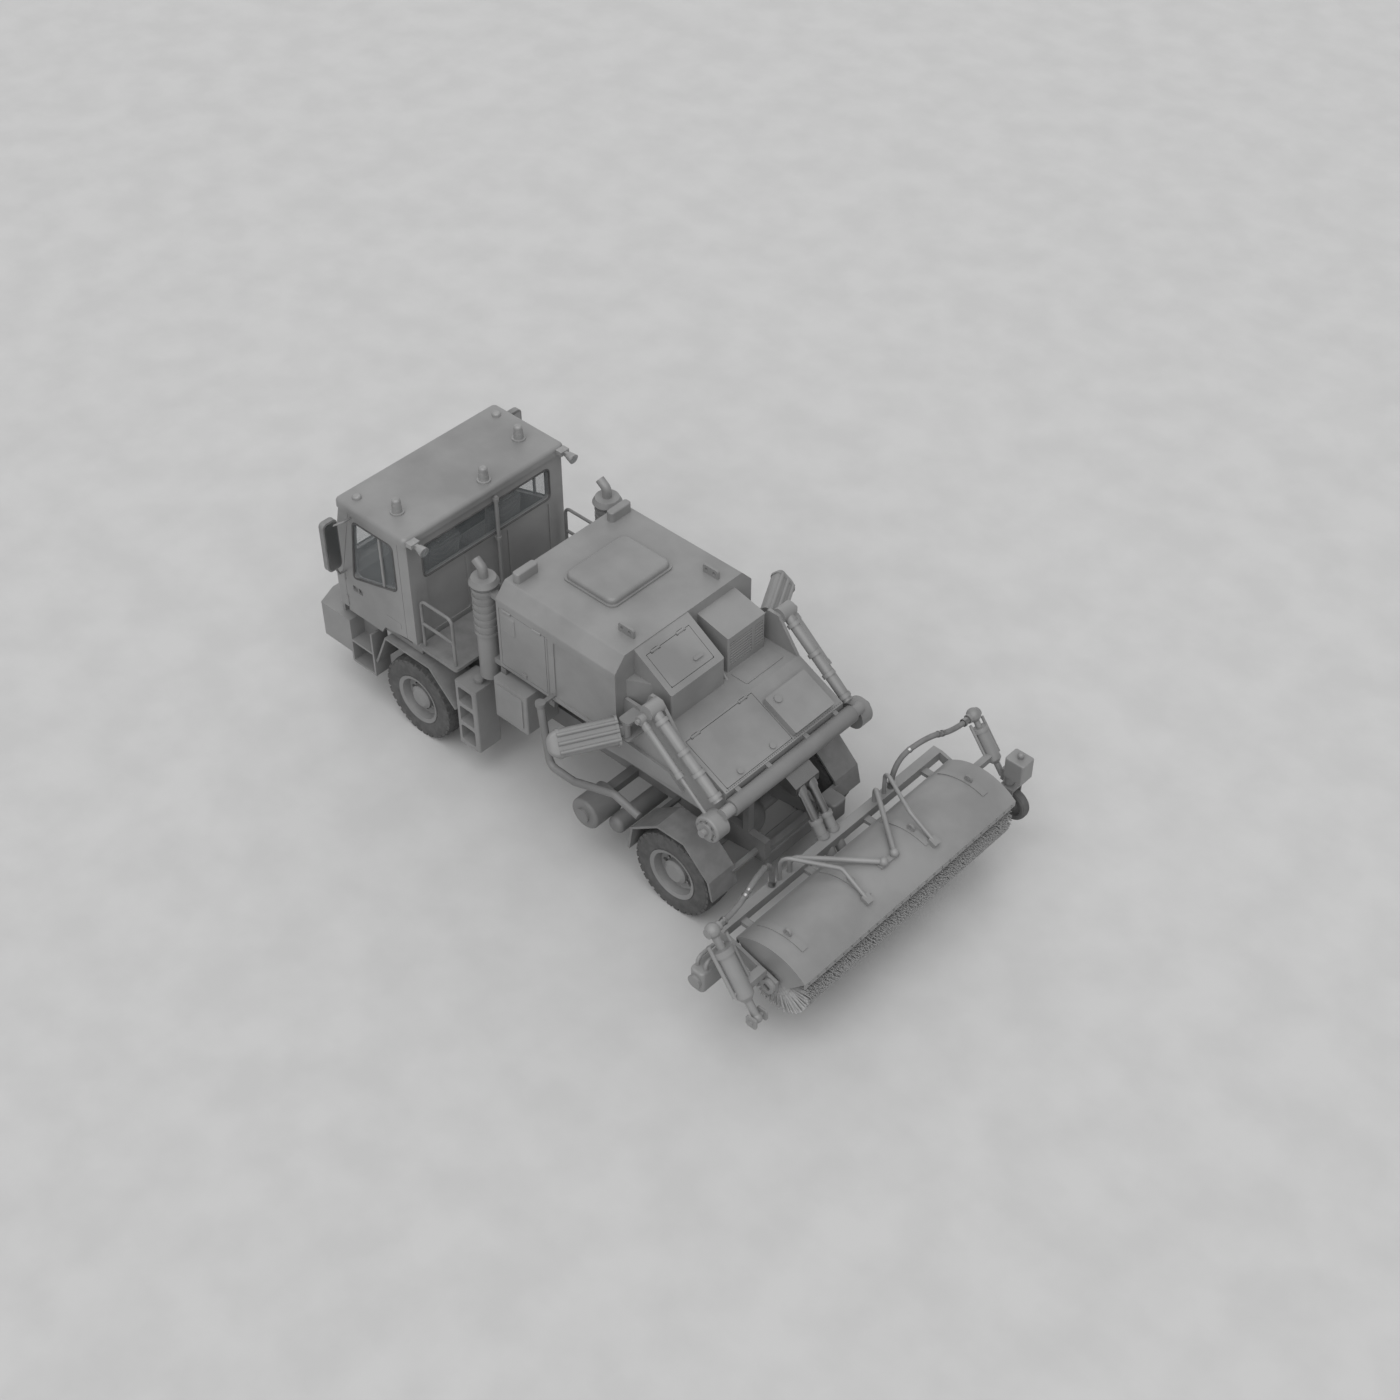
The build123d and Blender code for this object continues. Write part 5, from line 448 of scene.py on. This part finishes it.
class SweeperBrush(PropertyGroup):
    rows: IntProperty(name="Rows", description="Rows of tufts round the brush", default=30, min=8, max=60)
    along: IntProperty(name="Along", description="Bristle clumps along each row", default=150, min=10,
                       max=200)
    across: IntProperty(name="Across", description="Bristle clumps across each row", default=5, min=1, max=9)
    bristle: FloatProperty(name="Bristle", description="Thickness of a bristle clump", default=0.016,
                           unit="LENGTH", subtype="DISTANCE")


class SweeperSeats(PropertyGroup):
    crown: FloatProperty(name="Crown", description="Rise of a cushion's middle", default=0.022,
                         unit="LENGTH", subtype="DISTANCE")


class SweeperTrim(PropertyGroup):
    seal: FloatProperty(name="Seal", description="Radius of the window seals", default=0.012, unit="LENGTH",
                        subtype="DISTANCE")
    bolt: FloatProperty(name="Bolt", description="Width of a bolt head across flats", default=0.024,
                        unit="LENGTH", subtype="DISTANCE")


class SweeperStage(PropertyGroup):
    floor: FloatProperty(name="Floor", description="Side of the floor", default=90.0, unit="LENGTH",
                         subtype="DISTANCE")
    key: FloatProperty(name="Key light", description="Strength of the high soft light", default=2.3)
    fill: FloatProperty(name="Fill light", description="Strength of the soft light from the far side",
                        default=0.5)
    lens: FloatProperty(name="Lens", description="Focal length", default=56.53, unit="CAMERA")
    azimuth: FloatProperty(name="Azimuth", description="Camera's turn about the object",
                           default=math.radians(222.73), unit="ROTATION", subtype="ANGLE")
    elevation: FloatProperty(name="Elevation", description="Camera's height angle",
                             default=math.radians(43.10), unit="ROTATION", subtype="ANGLE")


# Operators

class SWEEPER_OT_finishes(Operator):
    """Give every CAD node the material of its slot"""
    bl_idname = "sweeper.finishes"
    bl_label = "CAD finishes"

    def execute(self, context):
        FINISH.update(make_finishes(context.scene.sweeper_paint))
        for row in frame["record"]["subparts"]:
            node = frame["nodes"][row["node"]]
            node.data.materials.clear()
            node.data.materials.append(FINISH[row["material_slot"]])
        return {"FINISHED"}


# Tyre name, body, side of the vehicle.
WHEELS = [
    ("front_tyre_left", "wheel_front_left", 1), ("front_tyre_right", "wheel_front_right", -1),
    ("rear_tyre_left", "wheel_rear_left", 1), ("rear_tyre_right", "wheel_rear_right", -1),
]
# Rows further out than the shoulder are dropped to follow the tyre's round edge.
SHOULDER = 0.3
SHOULDER_DROP = 0.009
BLOCK_SHARE = 0.68
BLOCK_BEVEL = 0.003
# Wheel nuts: radius at foot and tip, length, radius of their ring, distance from the tyre's middle.
NUT_R = 0.016
NUT_TIP_R = 0.014
NUT_L = 0.03
NUT_RING = 0.172
NUT_OUT = 0.058
# Tread rows: offset across as a share of the width, block width as a share, start as a share of the pitch.
TREAD_ROWS = [(-0.385, 0.17, 0.5), (-0.19, 0.14, 0.0), (0.0, 0.14, 0.5), (0.19, 0.14, 0.0),
              (0.385, 0.17, 0.5)]


class SWEEPER_OT_tread(Operator):
    """Add tread blocks and wheel nuts to the road wheels"""
    bl_idname = "sweeper.tread"
    bl_label = "Tyre tread"

    def execute(self, context):
        settings = context.scene.sweeper_tread
        ring = ring_group()
        for node, body, side in WHEELS:
            lo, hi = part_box(node)
            centre = (lo + hi) / 2
            radius = (hi.z - lo.z) / 2
            width = hi.y - lo.y
            pitch = 2 * math.pi * radius / settings.blocks
            meshes = []
            for across, share, start_share in TREAD_ROWS:
                drop = SHOULDER_DROP if abs(across) > SHOULDER else 0.0
                size = (settings.height, BLOCK_SHARE * pitch, share * width)
                item = item_object("tread_block", rounded_box(size, (0, 0, 0), BLOCK_BEVEL, 1))
                values = {
                    "Item": item,
                    "Count": settings.blocks,
                    "Radius": radius + settings.proud - settings.height / 2 - drop,
                    "Centre": (centre.x, centre.y + across * width, centre.z),
                    "Start angle": start_share * 2 * math.pi / settings.blocks,
                    "Material": FINISH["tyre_rubber"],
                }
                meshes.append(run_nodes(ring, "tread_ring", values))
                bpy.data.objects.remove(item)
            piece("tread_" + body, joined("tread_" + body, meshes), body, "tyre_rubber")
            nut = bmesh.new()
            bmesh.ops.create_cone(nut, cap_ends=True, segments=6, radius1=NUT_R, radius2=NUT_TIP_R,
                                  depth=NUT_L)
            item = item_object("wheel_nut", nut)
            values = {
                "Item": item,
                "Count": settings.nuts,
                "Radius": NUT_RING,
                "Centre": (centre.x, centre.y + side * NUT_OUT, centre.z),
                "Start angle": 0.0,
                "Material": FINISH["bright_steel"],
            }
            mesh = run_nodes(ring, "nuts", values)
            bpy.data.objects.remove(item)
            piece("nuts_" + body, mesh, body, "bright_steel")
        return {"FINISHED"}


# The brush's wafers, and how many of them make one wave of its rows.
WAFERS = 10
WAFER_CYCLE = 5
# Shares of the brush's radius, of a row's pitch and of a clump's thickness.
BRISTLE_ROOT = 0.42
CORE_SHARE = 0.46
ROW_SHARE = 0.86
CLUMP_TIP = 0.35
# How far a clump leans at random, for each unit outwards.
BRISTLE_LEAN = 0.07


class SWEEPER_OT_bristles(Operator):
    """Replace the broom's solid tufts by a core with rows of bristle clumps"""
    bl_idname = "sweeper.bristles"
    bl_label = "Broom bristles"

    def execute(self, context):
        settings = context.scene.sweeper_brush
        lo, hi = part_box("broom_brush")
        centre = (lo + hi) / 2
        radius = (hi.z - lo.z) / 2
        root = BRISTLE_ROOT * radius
        pitch = (hi.y - lo.y) / WAFERS
        points = []
        for row in range(settings.rows):
            for step in range(settings.along):
                y = lo.y + (step + 0.5) * (hi.y - lo.y) / settings.along
                wafer = int((y - lo.y) / pitch)
                shift = (math.pi / settings.rows) * math.sin(2 * math.pi * wafer / WAFER_CYCLE)
                for clump in range(settings.across):
                    turn = 2 * math.pi * (row + ROW_SHARE * clump / settings.across) / settings.rows + shift
                    aim = (math.cos(turn), 0.0, math.sin(turn))
                    points.append(((centre.x + root * aim[0], y, centre.z + root * aim[2]), aim))
        spike = bmesh.new()
        bmesh.ops.create_cone(spike, cap_ends=True, segments=3, radius1=0.5 * settings.bristle,
                              radius2=CLUMP_TIP * settings.bristle, depth=radius - root)
        bmesh.ops.translate(spike, vec=(0, 0, (radius - root) / 2), verts=spike.verts)
        item = item_object("bristle_clump", spike)
        values = {"Item": item, "Lean": BRISTLE_LEAN, "Material": FINISH["bristle"]}
        mesh = run_nodes(spike_group(), "broom_bristles", values, points)
        bpy.data.objects.remove(item)
        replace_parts(piece("broom_bristles", mesh, "brush", "bristle"), "broom_brush")
        ends = [Vector((centre.x, lo.y, centre.z)), Vector((centre.x, hi.y, centre.z))]
        core = tube("brush_core", ends, CORE_SHARE * radius, resolution=12)
        shade_smooth(core)
        piece("brush_core", core, "brush", "bristle")
        return {"FINISHED"}


# Cuts along each edge of a pad, its rounding as a share of its half thickness, where a broad face begins and
# how far its sides are drawn in as a share of the crown.
PAD_CUTS = 13
PAD_SOFT = 0.42
PAD_EDGE = 0.99
DRAWN_IN = 0.15


def pad(size, crown):
    """A closed pad: rounded box, middle of its broad faces raised, sides drawn in between corners."""
    shape = bmesh.new()
    bmesh.ops.create_cube(shape, size=2.0)
    bmesh.ops.subdivide_edges(shape, edges=shape.edges[:], cuts=PAD_CUTS, use_grid_fill=True)
    half = Vector(size) / 2
    soft = PAD_SOFT * min(half)
    inner = half - Vector((soft, soft, soft))
    for vertex in shape.verts:
        u = vertex.co.copy()
        core = Vector([max(-inner[i], min(inner[i], u[i] * half[i])) for i in range(3)])
        away = Vector([u[i] * half[i] - core[i] for i in range(3)])
        point = core + away.normalized() * soft if away.length > 1e-9 else core
        dome = (1 - u.x ** 2) * (1 - u.y ** 2)
        point.z += math.copysign(crown * dome, u.z) if abs(u.z) > PAD_EDGE else 0.0
        point.x -= math.copysign(DRAWN_IN * crown * (1 - u.y ** 2), u.x) if abs(u.x) > PAD_EDGE else 0.0
        vertex.co = point
    return shape


# Pads of a seat: name, size across, along and thick, centre's x and z from the rear axle, lean in degrees
# about the seat's width.
PADS = [
    ("cushion", (0.50, 0.52, 0.125), (4.596, 1.745), 0.0),
    ("back", (0.49, 0.70, 0.115), (4.346, 2.135), 81.0),
    ("head_rest", (0.25, 0.17, 0.10), (4.279, 2.61), 86.0),
]
SEAT_Y = 0.484
# The pedestal and the head rest's stems, from the rear axle.
STAND_SIZE = (0.26, 0.35, 0.335)
STAND_X = 4.596
STAND_Z = 1.5155
STAND_BEVEL = 0.012
STEM_X = 4.279
STEM_Z = (2.47, 2.56)
STEM_SPREAD = 0.065
STEM_R = 0.008


class SWEEPER_OT_seats(Operator):
    """Replace the two cab seats by padded cushions on a pedestal"""
    bl_idname = "sweeper.seats"
    bl_label = "Cab seats"

    def execute(self, context):
        settings = context.scene.sweeper_seats
        for side, sign in (("left", 1), ("right", -1)):
            for name, size, centre, lean in PADS:
                shape = pad(size, settings.crown)
                turn = Matrix.Rotation(math.radians(90.0), 4, "Z")
                bmesh.ops.transform(shape, matrix=turn, verts=shape.verts)
                bmesh.ops.transform(shape, matrix=Matrix.Rotation(math.radians(lean), 4, "Y"),
                                    verts=shape.verts)
                bmesh.ops.translate(shape, vec=place(centre[0], sign * SEAT_Y, centre[1]), verts=shape.verts)
                mesh = to_mesh(shape, f"seat_{name}_{side}")
                shade_smooth(mesh, 60.0)
                item = piece(f"seat_{name}_{side}", mesh, "chassis", "seat_fabric")
                if side == "left" and name == "cushion":
                    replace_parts(item, "cab_seats")
            stand = rounded_box(STAND_SIZE, place(STAND_X, sign * SEAT_Y, STAND_Z), STAND_BEVEL)
            piece(f"seat_stand_{side}", to_mesh(stand, f"seat_stand_{side}"), "chassis", "dash_plastic")
            stems = [tube("stem", [place(STEM_X, sign * SEAT_Y + dy, z) for z in STEM_Z], STEM_R)
                     for dy in (-STEM_SPREAD, STEM_SPREAD)]
            piece(f"seat_stems_{side}", joined(f"seat_stems_{side}", stems), "chassis", "bright_steel")
        return {"FINISHED"}


# Route of the broom's left hose, from the end unit's cross shaft to its seat on the beam.
HOSE_ROUTE = [(-1.459, 2.050, 1.553), (-1.459, 1.794, 1.553), (-1.395, 1.410, 1.713), (-1.250, 0.9912, 1.521),
              (-1.250, 0.9912, 1.130)]
HOSE_D = 0.064
# Ferrules and clamps on the hose: share of its length, half of their own length, radius.
COLLARS = [(0.03, 0.040, 0.041), (0.05, 0.012, 0.048), (0.30, 0.014, 0.038), (0.345, 0.014, 0.038),
           (0.62, 0.014, 0.038), (0.95, 0.012, 0.048), (0.97, 0.040, 0.041)]


def along(path, share):
    """The point and the heading at a share of a path's length."""
    left = share * sum((b - a).length for a, b in zip(path, path[1:]))
    for a, b in zip(path, path[1:]):
        step = (b - a).length
        if left <= step:
            break
        left -= step
    return a.lerp(b, min(left / step, 1.0)), (b - a).normalized()


class SWEEPER_OT_hoses(Operator):
    """Replace the broom's hoses by smooth hoses with end fittings"""
    bl_idname = "sweeper.hoses"
    bl_label = "Broom hoses"

    def execute(self, context):
        for side, sign in (("left", 1), ("right", -1)):
            points = [place(x, sign * y, z) for x, y, z in HOSE_ROUTE]
            curve = bpy.data.curves.new(f"broom_hose_{side}", "CURVE")
            curve.dimensions = "3D"
            line = curve.splines.new("NURBS")
            line.points.add(len(points) - 1)
            for point, value in zip(line.points, points):
                point.co = (*value, 1.0)
            line.order_u = 3
            line.use_endpoint_u = True
            line.resolution_u = 24
            curve.materials.append(FINISH["hose_rubber"])
            hose = bpy.data.objects.new(f"broom_hose_{side}", curve)
            context.scene.collection.objects.link(hose)
            line_mesh = bpy.data.meshes.new_from_object(hose.evaluated_get(context.evaluated_depsgraph_get()))
            path = [vertex.co.copy() for vertex in line_mesh.vertices]
            collars = []
            for share, half, radius in COLLARS:
                spot, heading = along(path, share)
                collars.append(tube("collar", [spot - half * heading, spot + half * heading], radius))
            rings = piece(f"hose_collars_{side}", joined(f"hose_collars_{side}", collars), "broom",
                          "bright_steel")
            curve.bevel_depth = HOSE_D / 2
            curve.bevel_resolution = 6
            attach(hose, "broom")
            if side == "left":
                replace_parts(hose, "broom_hoses")
        return {"FINISHED"}


# Window outlines from the rear axle: x and z on a door, y and z on the rear wall and the windscreen.
DOOR_PANE = [(4.291, 2.131), (5.080, 1.891), (4.963, 2.790), (4.291, 2.790)]
REAR_PANE = [(-1.0, 2.36), (1.0, 2.36), (1.0, 2.80), (-1.0, 2.80)]
SCREEN = [(-1.06, 2.006), (1.06, 2.006), (1.06, 2.86), (-1.06, 2.86)]
PANE_CORNER = 0.07
CAB_Y = 1.21
CAB_REAR_X = 4.036
SCREEN_FOOT_X = 5.42
SCREEN_LEAN = 0.2388
BELT_Z = 1.946
# Wipers: feet across the screen, heights of foot and tip, sideways sweep, distance off the glass, radii.
WIPER_FEET = (-0.45, 0.55)
WIPER_Z = (1.97, 2.5)
WIPER_SWEEP = 0.25
WIPER_OUT = 0.02
WIPER_R = 0.009
BLADE_R = 0.011
# The blade's ends below and above the arm's tip, and its slant.
BLADE_DROPS = (0.28, -0.2)
BLADE_SLANT = 0.5


def softened(points, radius, steps=6):
    """A flat outline with each corner cut to a quarter-turn curve."""
    result = []
    for i, corner in enumerate(points):
        here = Vector(corner)
        before = (Vector(points[i - 1]) - here).normalized() * radius
        after = (Vector(points[(i + 1) % len(points)]) - here).normalized() * radius
        for step in range(steps + 1):
            share = step / steps
            near = (1 - share) ** 2 * (here + before)
            result.append(near + 2 * share * (1 - share) * here + share ** 2 * (here + after))
    return result


class SWEEPER_OT_trim(Operator):
    """Add window seals and wipers"""
    bl_idname = "sweeper.trim"
    bl_label = "Seals and wipers"

    def execute(self, context):
        seal = context.scene.sweeper_trim.seal
        for side, sign in (("left", 1), ("right", -1)):
            line = [place(p.x, sign * CAB_Y, p.y) for p in softened(DOOR_PANE, PANE_CORNER)]
            ring = tube(f"door_seal_{side}", line, seal, closed=True, resolution=3)
            piece(f"door_seal_{side}", ring, f"door_{side}", "tyre_rubber")
        line = [place(CAB_REAR_X, p.x, p.y) for p in softened(REAR_PANE, PANE_CORNER)]
        ring = tube("rear_window_seal", line, seal, closed=True, resolution=3)
        piece("rear_window_seal", ring, "chassis", "tyre_rubber")
        line = [place(SCREEN_FOOT_X - SCREEN_LEAN * (p.y - BELT_Z), p.x, p.y)
                for p in softened(SCREEN, PANE_CORNER)]
        ring = tube("screen_seal", line, seal, closed=True, resolution=3)
        piece("screen_seal", ring, "chassis", "tyre_rubber")
        wipers = []
        foot_z, tip_z = WIPER_Z
        for y in WIPER_FEET:
            foot = Vector((SCREEN_FOOT_X + WIPER_OUT, y, foot_z))
            tip_x = SCREEN_FOOT_X - SCREEN_LEAN * (tip_z - BELT_Z) + WIPER_OUT
            tip = Vector((tip_x, y - WIPER_SWEEP, tip_z))
            wipers.append(tube("arm", [place(*foot), place(*tip)], WIPER_R, resolution=3))
            blade = [tip + Vector((SCREEN_LEAN * drop, BLADE_SLANT * drop, -drop)) for drop in BLADE_DROPS]
            wipers.append(tube("blade", [place(*p) for p in blade], BLADE_R, resolution=3))
        piece("wipers", joined("wipers", wipers), "chassis", "dash_plastic")
        return {"FINISHED"}


# Rows of bolt heads from the rear axle: name, body, first place, last place, way they face, count,
# size as a share of the bolt setting.
BOLT_ROWS = [
    ("cowl_strip", "broom", (-2.3824, -1.70, 1.075), (-2.3824, 1.70, 1.075), (-1.0, 0.0, 0.0), 26, 1.0),
    ("deck_edge", "chassis", (-0.532, -0.92, 1.9937), (-0.532, 0.92, 1.9937), (-0.436, 0.0, 0.9), 62, 0.5),
]
# Lamps: name, face centre from the rear axle with y of the left one, radius.
LENSES = [
    ("outer_headlamp", (5.865, 0.9033, 0.9196), 0.064), ("inner_headlamp", (5.865, 0.7423, 0.9196), 0.064),
    ("work_lamp", (3.7685, 1.1650, 2.970), 0.058),
]
LENS_BULGE = 0.012
DRUM_FACE = (-0.570, 1.276, 1.705)
DRUM_BOLTS = 8
DRUM_RING = 0.121
MIRROR_FACE = (5.0685, 1.45, 2.516)
MIRROR_SIZE = (0.17, 0.64)
MIRROR_T = 0.005
MIRROR_CORNER = 0.05


def bolt_shape(width):
    """A hex bolt head on a washer, standing on its own origin along z."""
    shape = bmesh.new()
    bmesh.ops.create_cone(shape, cap_ends=True, segments=12, radius1=0.68 * width, radius2=0.66 * width,
                          depth=0.12 * width)
    head = bmesh.ops.create_cone(shape, cap_ends=True, segments=6, radius1=0.55 * width,
                                 radius2=0.5 * width, depth=0.4 * width)
    bmesh.ops.translate(shape, vec=(0, 0, 0.25 * width), verts=head["verts"])
    return shape


class SWEEPER_OT_bolts(Operator):
    """Add rows and rings of bolt heads"""
    bl_idname = "sweeper.bolts"
    bl_label = "Bolt heads"

    def execute(self, context):
        width = context.scene.sweeper_trim.bolt
        rows = spike_group()
        for name, body, first, last, aim, count, share in BOLT_ROWS:
            ends = Vector(first), Vector(last)
            points = [(place(*ends[0].lerp(ends[1], i / (count - 1))), aim) for i in range(count)]
            item = item_object("bolt_head", bolt_shape(share * width))
            values = {"Item": item, "Lean": 0.0, "Material": FINISH["bright_steel"]}
            mesh = run_nodes(rows, "bolts_" + name, values, points)
            bpy.data.objects.remove(item)
            piece("bolts_" + name, mesh, body, "bright_steel")
        ring = ring_group()
        for side, sign in (("left", 1), ("right", -1)):
            item = item_object("bolt_head", bolt_shape(width))
            centre = place(DRUM_FACE[0], sign * DRUM_FACE[1], DRUM_FACE[2])
            values = {
                "Item": item,
                "Count": DRUM_BOLTS,
                "Radius": DRUM_RING,
                "Centre": centre,
                "Start angle": 0.0,
                "Material": FINISH["bright_steel"],
            }
            mesh = run_nodes(ring, "drum_bolts", values)
            bpy.data.objects.remove(item)
            if sign > 0:
                half_turn = Matrix.Rotation(math.pi, 4, "X")
                mesh.transform(Matrix.Translation(centre) @ half_turn @ Matrix.Translation(-centre))
            piece(f"bolts_drum_{side}", mesh, "chassis", "bright_steel")
        return {"FINISHED"}


class SWEEPER_OT_lenses(Operator):
    """Add lamp lenses and mirror glass"""
    bl_idname = "sweeper.lenses"
    bl_label = "Lenses and mirrors"

    def execute(self, context):
        for side, sign in (("left", 1), ("right", -1)):
            for name, face, radius in LENSES:
                shape = bmesh.new()
                bmesh.ops.create_uvsphere(shape, u_segments=32, v_segments=16, radius=1.0)
                bmesh.ops.scale(shape, vec=(LENS_BULGE, radius, radius), verts=shape.verts)
                bmesh.ops.translate(shape, vec=place(face[0], sign * face[1], face[2]), verts=shape.verts)
                mesh = to_mesh(shape, f"{name}_{side}")
                shade_smooth(mesh, 60.0)
                piece(f"{name}_{side}", mesh, "chassis", "cab_glass")
            half = (MIRROR_SIZE[0] / 2, MIRROR_SIZE[1] / 2)
            corners = [(-half[0], -half[1]), (half[0], -half[1]), (half[0], half[1]), (-half[0], half[1])]
            shape = bmesh.new()
            rim = [shape.verts.new(place(MIRROR_FACE[0], sign * MIRROR_FACE[1] + p.x, MIRROR_FACE[2] + p.y))
                   for p in softened(corners, MIRROR_CORNER)]
            face = shape.faces.new(rim)
            pushed = bmesh.ops.extrude_face_region(shape, geom=[face])
            moved = [v for v in pushed["geom"] if isinstance(v, bmesh.types.BMVert)]
            bmesh.ops.translate(shape, vec=(-MIRROR_T, 0, 0), verts=moved)
            bmesh.ops.recalc_face_normals(shape, faces=shape.faces)
            piece(f"mirror_glass_{side}", to_mesh(shape, f"mirror_glass_{side}"), f"door_{side}",
                  "bright_steel")
        return {"FINISHED"}


STUDIO_GREY = 0.365
# Broad lights: name, direction towards the light, softness in degrees, setting that holds the strength.
LIGHTS = [("key_light", (-3.0, 4.5, 9.0), 80.0, "key"), ("far_fill", (7.0, -6.0, 6.0), 80.0, "fill")]
# The camera's place from the rear axle, fitted to the photograph.
CAMERA_PLACE = (-11.270, 12.955, 18.393)
SENSOR_MM = 36.0
CLIP_END = 200.0


class SWEEPER_OT_stage(Operator):
    """Add the pale floor, the soft lights and the camera"""
    bl_idname = "sweeper.stage"
    bl_label = "Studio"

    def execute(self, context):
        settings = context.scene.sweeper_stage
        scene = context.scene
        scene.view_settings.view_transform = "Standard"
        half = settings.floor / 2
        plane = bmesh.new()
        bmesh.ops.create_grid(plane, x_segments=1, y_segments=1, size=half)
        floor = bpy.data.objects.new("studio_floor", to_mesh(plane, "studio_floor"))
        paint = scene.sweeper_paint
        finish = painted("pale studio floor", paint.floor_dark, paint.floor_pale, 0.7, 8.0)
        floor.data.materials.append(finish)
        scene.collection.objects.link(floor)
        world = bpy.data.worlds.new("studio")
        world.use_nodes = True
        sky = world.node_tree.nodes["Background"].inputs
        sky["Color"].default_value = (STUDIO_GREY, STUDIO_GREY, STUDIO_GREY, 1.0)
        sky["Strength"].default_value = 1.0
        scene.world = world
        for name, spot, soft, strength in LIGHTS:
            lamp = bpy.data.lights.new(name, "SUN")
            lamp.energy = getattr(settings, strength)
            lamp.angle = math.radians(soft)
            light = bpy.data.objects.new(name, lamp)
            light.location = spot
            light.rotation_euler = Vector(spot).to_track_quat("Z", "Y").to_euler()
            scene.collection.objects.link(light)
        lens = bpy.data.cameras.new("photo_camera")
        lens.lens = settings.lens
        lens.sensor_width = SENSOR_MM
        lens.clip_end = CLIP_END
        camera = bpy.data.objects.new("photo_camera", lens)
        back = Vector((math.sin(settings.azimuth) * math.cos(settings.elevation),
                       -math.cos(settings.azimuth) * math.cos(settings.elevation),
                       math.sin(settings.elevation)))
        camera.location = place(*CAMERA_PLACE)
        camera.rotation_euler = back.to_track_quat("Z", "Y").to_euler()
        scene.collection.objects.link(camera)
        scene.camera = camera
        return {"FINISHED"}


class SWEEPER_PT_panel(Panel):
    """Sweeper dressing tools"""
    bl_idname = "SWEEPER_PT_panel"
    bl_label = "Sweeper"
    bl_space_type = "VIEW_3D"
    bl_region_type = "UI"
    bl_category = "Sweeper"

    def draw(self, context):
        for operator in OPERATORS:
            self.layout.operator(operator.bl_idname)


SETTINGS = {"sweeper_paint": SweeperPaint, "sweeper_tread": SweeperTread, "sweeper_brush": SweeperBrush,
            "sweeper_seats": SweeperSeats, "sweeper_trim": SweeperTrim, "sweeper_stage": SweeperStage}
OPERATORS = (SWEEPER_OT_finishes, SWEEPER_OT_tread, SWEEPER_OT_bristles, SWEEPER_OT_seats, SWEEPER_OT_hoses,
             SWEEPER_OT_trim, SWEEPER_OT_bolts, SWEEPER_OT_lenses, SWEEPER_OT_stage)


def register():
    for kind in (*SETTINGS.values(), *OPERATORS, SWEEPER_PT_panel):
        bpy.utils.register_class(kind)
    for name, kind in SETTINGS.items():
        setattr(bpy.types.Scene, name, PointerProperty(type=kind))


def unregister():
    for name in SETTINGS:
        delattr(bpy.types.Scene, name)
    for kind in reversed((*SETTINGS.values(), *OPERATORS, SWEEPER_PT_panel)):
        bpy.utils.unregister_class(kind)


def main():
    register()
    bpy.ops.sweeper.finishes()
    bpy.ops.sweeper.tread()
    bpy.ops.sweeper.bristles()
    bpy.ops.sweeper.seats()
    bpy.ops.sweeper.hoses()
    bpy.ops.sweeper.trim()
    bpy.ops.sweeper.bolts()
    bpy.ops.sweeper.lenses()
    bpy.ops.sweeper.stage()


if __name__ == "__main__":
    main()
